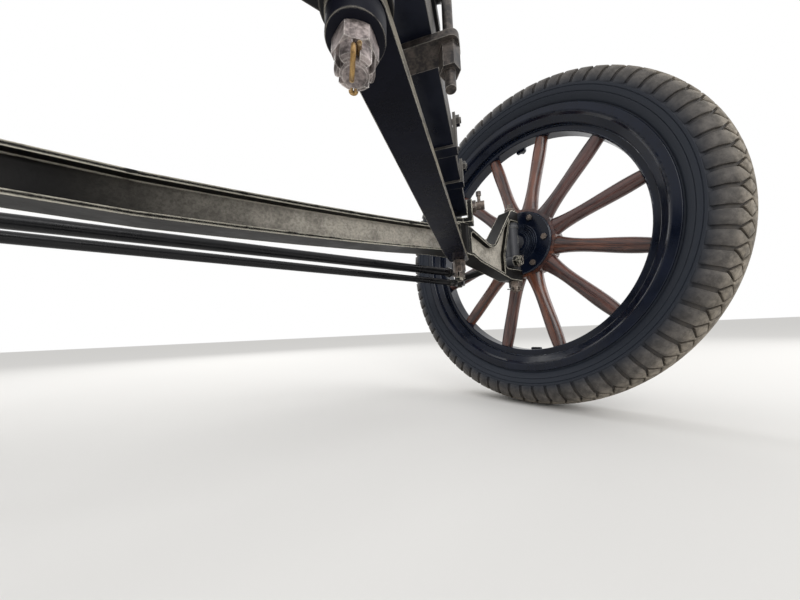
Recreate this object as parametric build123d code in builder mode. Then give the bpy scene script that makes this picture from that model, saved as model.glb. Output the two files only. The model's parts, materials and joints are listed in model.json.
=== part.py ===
"""Front axle of a 1920s light car, with its diagonal leaf springs and wooden spoked wheels.

Lengths are in millimetres. Places are written as the car has them: x from the middle of the car
towards its left side, y behind the axle, z above the wheels' centres. car() moves them to the row
frame, whose origin is the middle of the frame pad on top of the front bracket.
"""
import os
from math import cos, radians, sin, tan

from build123d import *

os.makedirs("parts", exist_ok=True)

# Overall sizes
TRACK = 1421.0          # between the middle planes of the two wheels
TYRE_RADIUS = 371.0
CAMBER = 1.5            # degrees, top of each wheel outwards
PAD_AHEAD = 340.0       # frame pad ahead of the axle
PAD_RISE = 186.8        # frame pad above the wheels' centres
KING_INSET = 45.5       # king bolt inboard of the wheel's middle plane
PERCH_INSET = 188.0     # spring perch inboard of the king bolt

# Clearances
RUN_FIT = 0.08          # radial, shafts and pins that turn
BOLT_FIT = 0.1          # radial, bolts and studs that hold still
THRUST_GAP = 0.5        # between faces that turn against each other
SEAT_GAP = 0.3          # between curved or stacked faces of one body
SLIDE_GAP = 1.5         # between the rods' eyes and the steering arm
BOLT_MERGE = 1.0        # castle nuts that are one solid with their bolt reach into it

# Axle beam
BEAM_DEPTH = 46.0
BEAM_WIDTH = 40.0
BEAM_MID_BOTTOM = -76.2     # underside at the middle of the car
BEAM_END_BOTTOM = -56.2     # underside at and beside the spring boss
BEAM_RISE_SHARE = 0.35      # of the rise, reached halfway out to the boss
BEAM_EASE = 1.0             # beam's underside stays level this far past the strap
FLANGE = 5.0                # thickness of the I section's flanges
WEB = 14.0                  # thickness of its web
POCKET_EASE = 18.0          # pocket stops this far before the boss
POCKET_TUCK = 9.0           # fork's pocket starts this far under the boss
POCKET_CORNER = 7.0
BOSS_RADIUS = 23.0
BOSS_RISE = 61.0            # top of the boss above the beam's underside
BOSS_LIP = 4.0              # boss above the beam's own top
BOSS_LAND = 6.0             # valley starts this far inside the boss's edge
HEEL_RUN = 20.0             # fork's underside turns down this far outside the boss
HEEL_DROP = 10.0
EAR_RADIUS = 16.0
EAR_TOP = 67.0
EAR_BOTTOM = -95.0
EAR_THICK = 24.0
EAR_NECK = 5.0              # upper ear's flat top reaches this far inboard of the round
EAR_DRAW = 1.0              # beam wider than the ears where it is drawn in
THROAT_INSET = 57.0         # foot of the fork's mouth, inboard of the king bolt
MOUTH_INSET = 27.0          # top of the fork's mouth, inboard of the king bolt
MOUTH_CORNER = 8.0
MOUTH_STEP = 10.0           # throat stays upright to this far above the steering arm's hole
VALLEY_INSET = 98.0         # lowest place of the fork's back, inboard of the king bolt
VALLEY_HEIGHT = -31.6
VALLEY_CURVE = 22.0
FOOT_INSET = 37.0           # where the fork's underside meets the lower ear
FOOT_CURVE = 24.0
KING_RADIUS = 8.0

# Castle nuts, as shares of their width across flats
CROWN_SHARE = 0.98
CROWN_SLOT = 0.17

# Perch and its nut
PERCH_BASE = 9.0            # thickness of the perch's foot
PERCH_INSET_FOOT = 2.0      # foot inside the boss's edge
PERCH_CORNER = 6.0
PERCH_STUD_RADIUS = 8.0
PERCH_STUD_END = 6.0        # radius of the stud's plain end
EAR_PLATE = 10.0            # thickness of the perch's two ears
PERCH_NUT_FLATS = 21.0
PERCH_NUT_TALL = 24.0
PERCH_NUT_CROWN = 10.0
PERCH_STUD_PAST = 7.0       # stud beyond its nut

# Spring bolt and its oil cup
EYE_PIN_RADIUS = 7.0
EYE_RADIUS = 15.0
EYE_CLEAR = 10.0            # main leaf above the perch's foot
EYE_HEAD_FLATS = 22.0
EYE_HEAD_THICK = 7.0
EYE_BOLT_PAST = 3.0
EYE_CAP_RADIUS = 8.5
EYE_CAP_LENGTH = 23.0
CUP_PLACE = 13.0            # oil cup along the cap
CUP_STEM_RADIUS = 3.2
CUP_STEM_LENGTH = 20.0
CUP_RADIUS = 5.0
CUP_TALL = 8.0

# Springs
LEAF_WIDTH = 45.0
LEAF_THICK = 7.0
BUTT_X = 45.0               # thick end of the spring, from the middle of the car
BUTT_AHEAD = 317.0
BUTT_BOTTOM = 99.8          # underside of the main leaf at its thick end
LEAF_BOW = 4.0              # how far the spring bows down between its ends
LEAF_TIPS = [52.0, 102.0, 152.0, 202.0, 252.0]   # start of each short leaf, from the eye
CLIP_PLACES = [112.0, 192.0]                     # rebound clips, from the eye
CLIP_WALL = 4.0
CLIP_LONG = 18.0            # along the spring
CLIP_BOLT_RADIUS = 4.0
CLIP_BOLT_RISE = 7.0        # bolt above the leaves
CLIP_NUT_FLATS = 13.0
CLIP_NUT_THICK = 5.0
CLIP_BOLT_PAST = 2.0

# Clamps under the bracket: distance from the butt, nut height, stud beyond the nut
CLAMPS = [(207.0, 27.0, 19.0), (48.0, 14.0, 5.0)]
CLAMP_ROD = 5.0             # radius of the U bolt
CLAMP_CLEAR = 4.7           # U bolt beside the wing
CLAMP_CURVE = 10.0
CLAMP_PLATE = 8.0
CLAMP_PLATE_LONG = 26.0
CLAMP_PLATE_CORNER = 8.0
CLAMP_NUT_FLATS = 17.0

# Straps from the perches to the bracket
STRAP_WIDTH = 37.0
STRAP_THICK = 8.0
STRAP_X = 115.0             # front bolt
STRAP_AHEAD = 258.0
STRAP_FRONT_HEIGHT = -15.2  # middle of the strap at its front bolt
STRAP_EASE = 3.6            # strap stays level this far past the beam, then rises
STRAP_CURVE = 40.0
STRAP_BOLT_RADIUS = 8.0
STRAP_WASHER_RADIUS = 17.5
STRAP_WASHER_THICK = 5.0
STRAP_NUT_FLATS = 25.5
STRAP_NUT_TALL = 22.0
STRAP_NUT_CROWN = 12.0
STRAP_BOLT_PAST = 2.5       # bolt beyond its nut
STRAP_HEAD_THICK = 11.0
LUG_RADIUS = 22.0
LUG_TALL = 26.0

# Front bracket
PAD_LENGTH = 176.0          # along x
PAD_WIDTH = 96.0            # along y
PAD_THICK = 14.0
PAD_CORNER = 14.0
PAD_HOLE_RADIUS = 6.5
PAD_HOLES_X = 136.0
PAD_HOLES_Y = 60.0
BLOCK_LENGTH = 110.0
BLOCK_WIDTH = 80.0
WING_PLAY = 7.0             # wing wider than the leaves
WING_BACK = 236.0           # wing reaches back from the butt
WING_AHEAD = 30.0           # wing reaches past the butt
WING_THICK = 14.0
RIB_THICK = 16.0
RIB_NOSE = 30.0             # rib reaches ahead of the pad's middle
RIB_TOE = 60.0              # rib's foot reaches ahead of the strap bolts
RIB_HEEL = 6.0              # rib's foot starts ahead of the strap bolts
RIB_CURVE = 30.0
BAR_THICK = 16.0            # cross bar between the strap lugs
BAR_SINK = 4.0              # cross bar below the lugs' tops
BAR_HALF = 18.0             # half width of the cross bar at the lugs
BAR_NOSE = 42.0             # cross bar reaches ahead of the strap bolts at the rib

# Knuckle and steering
BARREL_RADIUS = 14.0
BARREL_RING_HEIGHT = 30.0
BARREL_RING_THICK = 5.0
BARREL_RING_STEP = 2.0      # ring outside the barrel
SPINDLE_RADIUS = 15.0
SPINDLE_LENGTH = 76.0       # from the wheel's middle plane outwards
SPINDLE_TIP_RADIUS = 10.0
SPINDLE_TIP_LENGTH = 14.0
COLLAR_RADIUS = 17.0
KING_HEAD_RADIUS = 13.0
KING_HEAD_THICK = 4.0
KING_HEX_FLATS = 20.0
KING_HEX_THICK = 7.0
KING_CUP_TALL = 11.0
KING_NUT_FLATS = 26.0
KING_NUT_TALL = 13.0
KING_NUT_CROWN = 6.0
KING_BOLT_PAST = 3.0
ARM_HEIGHT = -51.2
ARM_INSET = 15.0            # arm's shank inboard of the king bolt
ARM_RADIUS = 7.0
ARM_SWELL = 9.0             # radius of the arm behind its shoulder
ARM_LUG_WALL = 6.0
ARM_LUG_STEP = 2.0          # arm's shoulder inside its lug
ARM_SHOULDER = 8.0
ARM_NUT_FLATS = 22.0
ARM_NUT_TALL = 9.0
ARM_NUT_CROWN = 5.0
ARM_BOLT_PAST = 2.0
ARM_EYE_STEP = 1.0          # arm's round end inside the rods' eyes
BALL_BEHIND = 170.0         # arm's stud behind the axle
ARM_END_HEIGHT = -58.2      # between the tie rod's eye and the drag link's
ARM_END_THICK = 11.0
ROD_EYE_THICK = 14.0
ROD_EYE_RADIUS = 14.0
ROD_NECK = 46.0             # from an eye's centre to the plain rod
ROD_SWELL = 2.0             # neck thicker than the eye halfway
ROD_NUT_FLATS = 24.0
ROD_NUT_THICK = 9.0
BALL_STUD_RADIUS = 6.0
STUD_PAST = 4.0             # stud beyond the last eye
TIE_RADIUS = 10.0
DRAG_RADIUS = 7.5
DRAG_END_X = -330.0         # free end of the drag link, towards the steering box
DRAG_END_BEHIND = 128.0
DRAG_BORE_RADIUS = 7.0      # hole for the steering box's ball stud

# Wheel, along the spindle from the wheel's middle plane, outwards positive
SPOKES = 12
SPOKE_OFFSET = 4.5
SPOKE_DEPTH = 32.0          # thickness of the wedges between the flanges
SPOKE_GAP = 0.5             # between neighbouring wedges
WEDGE_PAST = 6.0            # wedges reach past the flanges
# Blade sections: share of the way to the felloe, width, depth
BLADE = [(0.0, 41.0, 30.0), (0.18, 31.0, 30.0), (0.52, 29.0, 27.0), (1.0, 27.0, 25.0)]
HUB_FLANGE_RADIUS = 76.0
HUB_FLANGE_THICK = 5.0
HUB_BARREL_RADIUS = 27.0
HUB_RINGS = [31.0, 27.5, 24.0]   # radii of the steps on the inner boss
HUB_RING_DEPTH = 2.9
HUB_CHAMFER = 2.0
PLATE_INSET = 4.0           # outer plate inside the inner flange
HUB_NOSE = 66.0
NOSE_TAPER = 4.0
HUB_BOLTS = 6
HUB_BOLT_CIRCLE = 124.0
HUB_BOLT_RADIUS = 5.0
HUB_HEAD_FLATS = 12.0
HUB_HEAD_THICK = 4.0
HUB_NUT_FLATS = 15.0
HUB_NUT_THICK = 7.0
CAP_START = 14.0            # cap outside the plate's seat
CAP_WALL = 4.0
CAP_CLEAR = 3.0             # cap around the spindle's end
CAP_BAND_FLATS = 72.0       # hexagon band for the cap's spanner
CAP_BAND_LONG = 10.0
CAP_DOME = 11.0
FELLOE_DEPTH = 13.7         # felloe's inner face inside the rim's well
FELLOE_THICK = 4.0
FELLOE_WIDTH = 34.0
FELLOE_CURVE = 3.0
RIM_WELL_RADIUS = 266.0
RIM_STEP = 16.0             # from the well to the bead's seat, and again to the flange's top
RIM_WIDTH = 84.0
RIM_WELL_WIDTH = 44.0
RIM_LEDGE = 10.0            # width of the ledge that carries a bead
RIM_THICK = 4.0
RIM_WELL_CURVE = 4.0
RIM_FLANGE_CURVE = 5.0
BEAD_RISE = 2.0             # ledge above the rim's seat
RIM_LUGS = 4
LUG_LONG = 18.0
LUG_WIDE = 24.0
LUG_THICK = 6.0
LUG_CORNER = 3.0
LUG_NUT_FLATS = 14.0
LUG_NUT_THICK = 8.0
TYRE_WIDTH = 112.0
TYRE_WALL = 9.0
TYRE_TREAD = 12.6           # thickness under the tread
TREAD_HALF = 42.0           # from the crown to the shoulder
TREAD_DROP = 11.0           # shoulder below the crown
TYRE_MIDDLE = 35.0          # widest place below the crown
BEAD_WIDTH = 12.0
BEAD_HEEL = 2.0             # casing's inside starts above the rim's flange

# Places that follow from the sizes
KING_X = TRACK / 2 - KING_INSET
PERCH_X = KING_X - PERCH_INSET
BOSS_TOP = BEAM_END_BOTTOM + BOSS_RISE
KNUCKLE_BOTTOM = EAR_BOTTOM + EAR_THICK
KNUCKLE_TOP = EAR_TOP - EAR_THICK
EYE_BOTTOM = BOSS_TOP + PERCH_BASE + EYE_CLEAR
EYE_HEIGHT = EYE_BOTTOM + EYE_RADIUS
EAR_OUTER = LEAF_WIDTH / 2 + THRUST_GAP + EAR_PLATE
LAYER = LEAF_THICK + SEAT_GAP
LEAF_COUNT = 1 + len(LEAF_TIPS)
SPRING_RUN = ((PERCH_X - BUTT_X) ** 2 + BUTT_AHEAD ** 2) ** 0.5
STRAP_RUN = ((PERCH_X - STRAP_X) ** 2 + STRAP_AHEAD ** 2) ** 0.5
STRAP_ACROSS = (PERCH_X - STRAP_X) / STRAP_RUN
STRAP_FORWARD = STRAP_AHEAD / STRAP_RUN
STRAP_EXIT = (BEAM_WIDTH / 2 + STRAP_WIDTH / 2 * STRAP_ACROSS) / STRAP_FORWARD
STRAP_BEND = STRAP_EXIT + STRAP_EASE
BEAM_LEVEL_END = (
    PERCH_X - STRAP_EXIT * STRAP_ACROSS - STRAP_WIDTH / 2 * STRAP_FORWARD - BEAM_EASE
)
STRAP_RISE = STRAP_FRONT_HEIGHT + STRAP_THICK / 2 - BEAM_END_BOTTOM
STRAP_SLOPE = STRAP_RISE / (STRAP_RUN - STRAP_BEND)
WING_WIDTH = LEAF_WIDTH + WING_PLAY
ROD_STEP = (ARM_END_THICK + ROD_EYE_THICK) / 2 + SLIDE_GAP
TIE_HEIGHT = ARM_END_HEIGHT + ROD_STEP
DRAG_HEIGHT = ARM_END_HEIGHT - ROD_STEP
HUB_IN = SPOKE_OFFSET - SPOKE_DEPTH / 2
HUB_OUT = SPOKE_OFFSET + SPOKE_DEPTH / 2
HUB_INNER_FACE = HUB_IN - HUB_FLANGE_THICK
HUB_INNER_END = HUB_INNER_FACE - len(HUB_RINGS) * HUB_RING_DEPTH
RIM_SEAT_RADIUS = RIM_WELL_RADIUS + RIM_STEP
RIM_FLANGE_RADIUS = RIM_SEAT_RADIUS + RIM_STEP
FELLOE_RADIUS = RIM_WELL_RADIUS - FELLOE_DEPTH
FELLOE_LOW = SPOKE_OFFSET - FELLOE_WIDTH / 2
FELLOE_HIGH = SPOKE_OFFSET + FELLOE_WIDTH / 2

SIDES = {"left": 1, "right": -1}
UP = Vector(0, 0, 1)


def car(x, y, z):
    """Point of the row frame at x left, y behind the axle and z above the wheels' centres."""
    return Vector(x, y + PAD_AHEAD, z - PAD_RISE)


def keep(sub_part, name):
    """Label a finished piece and write its file."""
    sub_part.part.label = name
    export_step(sub_part.part, f"parts/{name}.step")


def front_view():
    """Plane of the axle: local x across the car, local y its height, normal to the front."""
    return Plane(origin=car(0, 0, 0), x_dir=(1, 0, 0), z_dir=(0, -1, 0))


def level(height, x=0.0, behind=0.0):
    """Horizontal plane at a height above the wheels' centres."""
    return Plane(origin=car(x, behind, height), x_dir=(1, 0, 0), z_dir=(0, 0, 1))


def below(height, x=0.0, behind=0.0):
    """Horizontal plane that faces down, for a nut on an underside."""
    return Plane(origin=car(x, behind, height), x_dir=(1, 0, 0), z_dir=(0, 0, -1))


def spin_axis(side):
    """Axis of a wheel, pointing outboard and down by the camber."""
    lean = radians(CAMBER)
    return Vector(side * cos(lean), 0, -sin(lean))


def wheel_centre(side):
    """Middle of a wheel."""
    return car(side * TRACK / 2, 0, 0)


def spin_profile(side):
    """Plane through a wheel's axis: local x outboard along it, local y the radius."""
    return Plane(origin=wheel_centre(side), x_dir=spin_axis(side), z_dir=(0, -side, 0))


def wheel_plane(side, offset=0.0):
    """Plane across a wheel's axis, with its normal outboard and local x to the rear."""
    origin = wheel_centre(side) + spin_axis(side) * offset
    return Plane(origin=origin, x_dir=(0, 1, 0), z_dir=spin_axis(side))


def wheel_axis(side):
    """Axis to revolve a wheel's piece about."""
    return Axis(wheel_centre(side), spin_axis(side))


def spring_way(side):
    """Direction of a spring in plan, from its eye to the bracket."""
    return Vector(-side * (PERCH_X - BUTT_X), -BUTT_AHEAD, 0).normalized()


def strap_way(side):
    """Direction of a strap in plan, from the perch to the bracket."""
    return Vector(-side * (PERCH_X - STRAP_X), -STRAP_AHEAD, 0).normalized()


def upright(side, way):
    """Upright plane through a perch: local x along way, local y the height."""
    return Plane(origin=car(side * PERCH_X, 0, 0), x_dir=way, z_dir=-UP.cross(way))


def leaf_height(run, layer=0):
    """Height of the underside of a leaf at a run from the eye. Layer 0 is the main leaf."""
    share = run / SPRING_RUN
    straight = EYE_BOTTOM + (BUTT_BOTTOM - EYE_BOTTOM) * share
    return straight - 4 * LEAF_BOW * share * (1 - share) + layer * LAYER


def leaf_band(start, end, layer, thick):
    """Side outline of a band that follows the spring, closed by two lines and two arcs."""
    low = [(run, leaf_height(run, layer)) for run in (start, (start + end) / 2, end)]
    high = [(run, height + thick) for run, height in low]
    ThreePointArc(*low)
    Line(low[2], high[2])
    ThreePointArc(high[2], high[1], high[0])
    Line(high[0], low[0])


def leaf_plane(side, run):
    """Plane across a spring at a run from its eye: local y up from the main leaf's underside."""
    way = spring_way(side)
    slope = (leaf_height(run + 1) - leaf_height(run - 1)) / 2
    origin = car(side * PERCH_X, 0, leaf_height(run)) + way * run
    along = (way + UP * slope).normalized()
    return Plane(origin=origin, x_dir=UP.cross(way), z_dir=along)


def strap_end(side):
    """Plane of a strap's middle at its front bolt, with its normal up through the strap."""
    along = (strap_way(side) + UP * STRAP_SLOPE).normalized()
    across = UP.cross(strap_way(side))
    origin = car(side * STRAP_X, -STRAP_AHEAD, STRAP_FRONT_HEIGHT)
    return Plane(origin=origin, x_dir=along, z_dir=along.cross(across))


def hexagon(plane, flats, thick):
    """Hexagon head or nut standing on a plane, along its normal, for a bolt that fills it."""
    with BuildPart() as head:
        with BuildSketch(plane):
            RegularPolygon(flats / 2, 6, major_radius=False)
        extrude(amount=thick)
    return head.part


def castle_nut(plane, flats, tall, crown, bore):
    """Castle nut standing on a plane: a hexagon and a round crown with six slots."""
    crown_radius = flats * CROWN_SHARE / 2
    slot_wide = flats * CROWN_SLOT
    with BuildPart() as nut:
        with BuildSketch(plane):
            RegularPolygon(flats / 2, 6, major_radius=False)
        extrude(amount=tall)
        with BuildSketch(plane.offset(tall)):
            Circle(crown_radius)
        extrude(amount=crown)
        with BuildSketch(plane.offset(tall)):
            for turn in (0, 60, 120):
                Rectangle(2 * flats, slot_wide, rotation=turn)
        extrude(amount=crown, mode=Mode.SUBTRACT)
        with BuildSketch(plane):
            Circle(bore)
        extrude(amount=tall + crown, mode=Mode.SUBTRACT)
    return nut.part


# Axle beam: a forged I section that rises to the spring bosses and ends in forks
def beam_arc(end, lift):
    """Long arc of the beam from the middle of the car to x end, lift above its underside."""
    rise = BEAM_END_BOTTOM - BEAM_MID_BOTTOM
    middle = BEAM_MID_BOTTOM + BEAM_RISE_SHARE * rise + lift
    ThreePointArc((0, BEAM_MID_BOTTOM + lift), (end / 2, middle), (end, BEAM_END_BOTTOM + lift))


def beam_edge():
    """Closed front outline of the left half of the beam, without the fork's mouth."""
    boss_in = PERCH_X - BOSS_RADIUS
    boss_out = PERCH_X + BOSS_RADIUS
    arc_end = BEAM_LEVEL_END
    ear_out = KING_X + EAR_RADIUS
    ear_in = KING_X - EAR_RADIUS
    beam_arc(arc_end, 0)
    FilletPolyline(
        (arc_end, BEAM_END_BOTTOM),
        (boss_out, BEAM_END_BOTTOM),
        (boss_out + HEEL_RUN, BEAM_END_BOTTOM - HEEL_DROP),
        (KING_X - FOOT_INSET, EAR_BOTTOM),
        (ear_out, EAR_BOTTOM),
        (ear_out, EAR_TOP),
        (ear_in - EAR_NECK, EAR_TOP),
        (KING_X - VALLEY_INSET, VALLEY_HEIGHT),
        (boss_out - BOSS_LAND, BOSS_TOP - BOSS_LIP),
        (boss_in, BOSS_TOP - BOSS_LIP),
        (arc_end, BEAM_END_BOTTOM + BEAM_DEPTH),
        radius=[4, 12, FOOT_CURVE, 0, 0, 6, VALLEY_CURVE, 8, 10],
    )
    beam_arc(arc_end, BEAM_DEPTH)
    Line((0, BEAM_MID_BOTTOM + BEAM_DEPTH), (0, BEAM_MID_BOTTOM))


def mouth_edge():
    """Closed outline of the fork's mouth, which takes the knuckle between its two ears."""
    throat = KING_X - THROAT_INSET
    past = KING_X + 2 * EAR_RADIUS
    FilletPolyline(
        (throat, KNUCKLE_BOTTOM),
        (throat, ARM_HEIGHT + MOUTH_STEP),
        (KING_X - MOUTH_INSET, KNUCKLE_TOP),
        (past, KNUCKLE_TOP),
        (past, KNUCKLE_BOTTOM),
        close=True,
        radius=[MOUTH_CORNER, MOUTH_CORNER, MOUTH_CORNER / 2, 0, 0],
    )


def beam_plan():
    """Plan of the left half of the beam: full width, then drawn in to the round ears."""
    half = BEAM_WIDTH / 2
    boss_out = PERCH_X + BOSS_RADIUS
    draw_end = KING_X - THROAT_INSET
    with BuildSketch(level(0)) as plan:
        with BuildLine():
            Polyline(
                (0, half), (boss_out, half), (draw_end, EAR_RADIUS + EAR_DRAW),
                (KING_X, EAR_RADIUS),
            )
            ThreePointArc(
                (KING_X, EAR_RADIUS), (KING_X + EAR_RADIUS, 0), (KING_X, -EAR_RADIUS)
            )
            Polyline(
                (KING_X, -EAR_RADIUS), (draw_end, -EAR_RADIUS - EAR_DRAW), (boss_out, -half),
                (0, -half), (0, half),
            )
        make_face()
    return plan.sketch


def beam_pocket(face):
    """Long pocket on the front (1) or rear (-1) of the beam, between its flanges."""
    end = PERCH_X - BOSS_RADIUS - POCKET_EASE
    with BuildSketch(front_view().offset(face * BEAM_WIDTH / 2)) as pocket:
        with BuildLine():
            beam_arc(end, FLANGE)
            Line((end, BEAM_END_BOTTOM + FLANGE), (end, BEAM_END_BOTTOM + BEAM_DEPTH - FLANGE))
            beam_arc(end, BEAM_DEPTH - FLANGE)
            Line((0, BEAM_MID_BOTTOM + BEAM_DEPTH - FLANGE), (0, BEAM_MID_BOTTOM + FLANGE))
        make_face()
        fillet(pocket.vertices().group_by(Axis.X)[-1], POCKET_CORNER)
    return pocket.sketch


def fork_pocket(face):
    """Pocket between the spring boss and the fork's mouth, an even flange inside the outline."""
    throat = KING_X - THROAT_INSET
    start = PERCH_X + BOSS_RADIUS - POCKET_TUCK
    long = KING_X - MOUTH_INSET - start
    with BuildSketch(front_view().offset(face * BEAM_WIDTH / 2)) as pocket:
        with BuildLine():
            beam_edge()
        make_face()
        with BuildLine():
            mouth_edge()
        make_face(mode=Mode.SUBTRACT)
        with Locations((throat + EAR_RADIUS, KNUCKLE_BOTTOM)):
            Rectangle(2 * EAR_RADIUS, 2 * EAR_THICK + 2 * FLANGE, mode=Mode.SUBTRACT)
        with Locations((start + long / 2, 0)):
            Rectangle(long, 4 * BEAM_DEPTH, mode=Mode.INTERSECT)
        offset(amount=-FLANGE)
        fillet(pocket.vertices().group_by(Axis.X)[0].sort_by(Axis.Y)[-1], POCKET_CORNER)
    return pocket.sketch


with BuildPart() as axle_beam:
    with BuildSketch(front_view()):
        with BuildLine():
            beam_edge()
        make_face()
    extrude(amount=BEAM_WIDTH / 2, both=True)
    extrude(beam_plan(), amount=2 * BEAM_DEPTH + EAR_THICK, both=True, mode=Mode.INTERSECT)
    for face in (1, -1):
        depth = -face * (BEAM_WIDTH - WEB) / 2
        extrude(beam_pocket(face), amount=depth, mode=Mode.SUBTRACT)
        extrude(fork_pocket(face), amount=depth, mode=Mode.SUBTRACT)
    with BuildSketch(front_view()):
        with BuildLine():
            mouth_edge()
        make_face()
    extrude(amount=BEAM_WIDTH, both=True, mode=Mode.SUBTRACT)
    with BuildSketch(level(EAR_BOTTOM)):
        with Locations((KING_X, 0)):
            Circle(KING_RADIUS + BOLT_FIT)
    extrude(amount=EAR_TOP - EAR_BOTTOM, mode=Mode.SUBTRACT)
    with BuildSketch(level(BEAM_END_BOTTOM)):
        with Locations((PERCH_X, 0)):
            Circle(BOSS_RADIUS)
    extrude(amount=BOSS_RISE)
    with BuildSketch(level(BEAM_END_BOTTOM)):
        with Locations((PERCH_X, 0)):
            Circle(PERCH_STUD_RADIUS + BOLT_FIT)
    extrude(amount=BOSS_RISE, mode=Mode.SUBTRACT)
    mirror(about=Plane.YZ)
keep(axle_beam, "axle_beam")

for hand, side in SIDES.items():
    way = spring_way(side)
    across = UP.cross(way)
    outward = across * side
    eye = car(side * PERCH_X, 0, EYE_HEIGHT)
    boss_top = Plane(origin=car(side * PERCH_X, 0, BOSS_TOP), x_dir=way, z_dir=UP)
    perch_seat = BEAM_END_BOTTOM - STRAP_THICK - SEAT_GAP
    nut_end = perch_seat - PERCH_NUT_TALL - PERCH_NUT_CROWN

    # Perch: a stud through the boss, with a fork on top for the spring's eye
    drop = EYE_HEIGHT - BOSS_TOP
    slot = drop - PERCH_BASE + 2 * EYE_RADIUS
    ear_plane = Plane(origin=eye, x_dir=-way, z_dir=across)
    with BuildPart() as perch:
        with BuildSketch(boss_top):
            Circle(BOSS_RADIUS - PERCH_INSET_FOOT)
            RectangleRounded(2 * EYE_RADIUS, 2 * EAR_OUTER, PERCH_CORNER)
        extrude(amount=PERCH_BASE)
        with BuildSketch(ear_plane):
            Circle(EYE_RADIUS)
            with Locations((0, -drop / 2)):
                Rectangle(2 * EYE_RADIUS, drop)
        extrude(amount=EAR_OUTER, both=True)
        with BuildSketch(ear_plane):
            with Locations((0, PERCH_BASE - drop + slot / 2)):
                Rectangle(4 * EYE_RADIUS, slot)
        extrude(amount=LEAF_WIDTH / 2 + THRUST_GAP, both=True, mode=Mode.SUBTRACT)
        with BuildSketch(ear_plane):
            Circle(EYE_PIN_RADIUS + BOLT_FIT)
        extrude(amount=EAR_OUTER, both=True, mode=Mode.SUBTRACT)
        with BuildSketch(level(nut_end, side * PERCH_X)):
            Circle(PERCH_STUD_RADIUS)
        extrude(amount=BOSS_TOP - nut_end)
        with BuildSketch(below(nut_end, side * PERCH_X)):
            Circle(PERCH_STUD_END)
        extrude(amount=PERCH_STUD_PAST)
        fillet(perch.edges().sort_by(Axis.Z)[0], PERCH_STUD_END / 2)
    keep(perch, f"perch_{hand}")

    # Castle nut under the boss, which holds the strap's rear end
    with BuildPart() as perch_nut:
        add(castle_nut(
            below(perch_seat, side * PERCH_X), PERCH_NUT_FLATS, PERCH_NUT_TALL,
            PERCH_NUT_CROWN, PERCH_STUD_RADIUS + BOLT_FIT,
        ))
    keep(perch_nut, f"perch_nut_{hand}")

    # Bolt through the spring's eye, with a nut inboard and an oil cup on its outer cap
    bolt_plane = Plane(origin=eye, x_dir=UP, z_dir=outward)
    cup_foot = Plane(origin=eye + outward * (EAR_OUTER + CUP_PLACE), z_dir=UP)
    with BuildPart() as spring_bolt:
        with BuildSketch(bolt_plane.offset(-EAR_OUTER - EYE_HEAD_THICK - EYE_BOLT_PAST)):
            Circle(EYE_PIN_RADIUS)
        extrude(amount=2 * EAR_OUTER + EYE_HEAD_THICK + EYE_BOLT_PAST)
        for start in (EAR_OUTER, -EAR_OUTER - EYE_HEAD_THICK):
            add(hexagon(bolt_plane.offset(start), EYE_HEAD_FLATS, EYE_HEAD_THICK))
        with BuildSketch(bolt_plane.offset(EAR_OUTER)):
            Circle(EYE_CAP_RADIUS)
        extrude(amount=EYE_CAP_LENGTH)
        with BuildSketch(cup_foot):
            Circle(CUP_STEM_RADIUS)
        extrude(amount=CUP_STEM_LENGTH)
        with BuildSketch(cup_foot.offset(CUP_STEM_LENGTH)):
            Circle(CUP_RADIUS)
        extrude(amount=CUP_TALL)
    keep(spring_bolt, f"spring_bolt_{hand}")

    # Main leaf: the lowest one, with an eye rolled up at the axle end
    side_view = upright(side, way)
    with BuildPart() as main_leaf:
        with BuildSketch(side_view):
            with BuildLine():
                leaf_band(0, SPRING_RUN, 0, LEAF_THICK)
            make_face()
            with Locations((0, EYE_HEIGHT)):
                Circle(EYE_RADIUS)
        extrude(amount=LEAF_WIDTH / 2, both=True)
        with BuildSketch(side_view):
            with Locations((0, EYE_HEIGHT)):
                Circle(EYE_PIN_RADIUS + BOLT_FIT)
        extrude(amount=LEAF_WIDTH, both=True, mode=Mode.SUBTRACT)
    keep(main_leaf, f"main_leaf_{hand}")

    # Short leaves, each ending further from the eye than the one below it
    with BuildPart() as short_leaves:
        for layer, tip in enumerate(LEAF_TIPS, start=1):
            with BuildSketch(side_view):
                with BuildLine():
                    leaf_band(tip, SPRING_RUN, layer, LEAF_THICK)
                make_face()
            extrude(amount=LEAF_WIDTH / 2, both=True)
    keep(short_leaves, f"short_leaves_{hand}")

    # Rebound clips: a band under and beside the leaves, closed by a bolt on top
    inner = LEAF_WIDTH + 2 * SEAT_GAP
    outer = inner + 2 * CLIP_WALL
    with BuildPart() as leaf_clips:
        for place in CLIP_PLACES:
            layers = 1 + sum(1 for tip in LEAF_TIPS if tip < place + CLIP_LONG)
            tall = layers * LAYER
            clip_plane = leaf_plane(side, place)
            bolt_height = tall + CLIP_BOLT_RISE
            top = bolt_height + 2 * CLIP_BOLT_RADIUS
            with BuildSketch(clip_plane):
                with Locations((0, (top - CLIP_WALL - SEAT_GAP) / 2)):
                    Rectangle(outer, top + CLIP_WALL + SEAT_GAP)
                with Locations((0, top - SEAT_GAP)):
                    Rectangle(inner, 2 * top, mode=Mode.SUBTRACT)
            extrude(amount=CLIP_LONG / 2, both=True)
            bolt_middle = clip_plane.origin + clip_plane.y_dir * bolt_height
            bolt_line = Plane(origin=bolt_middle, x_dir=way, z_dir=across)
            with BuildSketch(bolt_line):
                Circle(CLIP_BOLT_RADIUS)
            extrude(amount=outer / 2 + CLIP_NUT_THICK + CLIP_BOLT_PAST, both=True)
            for start in (outer / 2, -outer / 2 - CLIP_NUT_THICK):
                add(hexagon(bolt_line.offset(start), CLIP_NUT_FLATS, CLIP_NUT_THICK))
    keep(leaf_clips, f"leaf_clips_{hand}")

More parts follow.
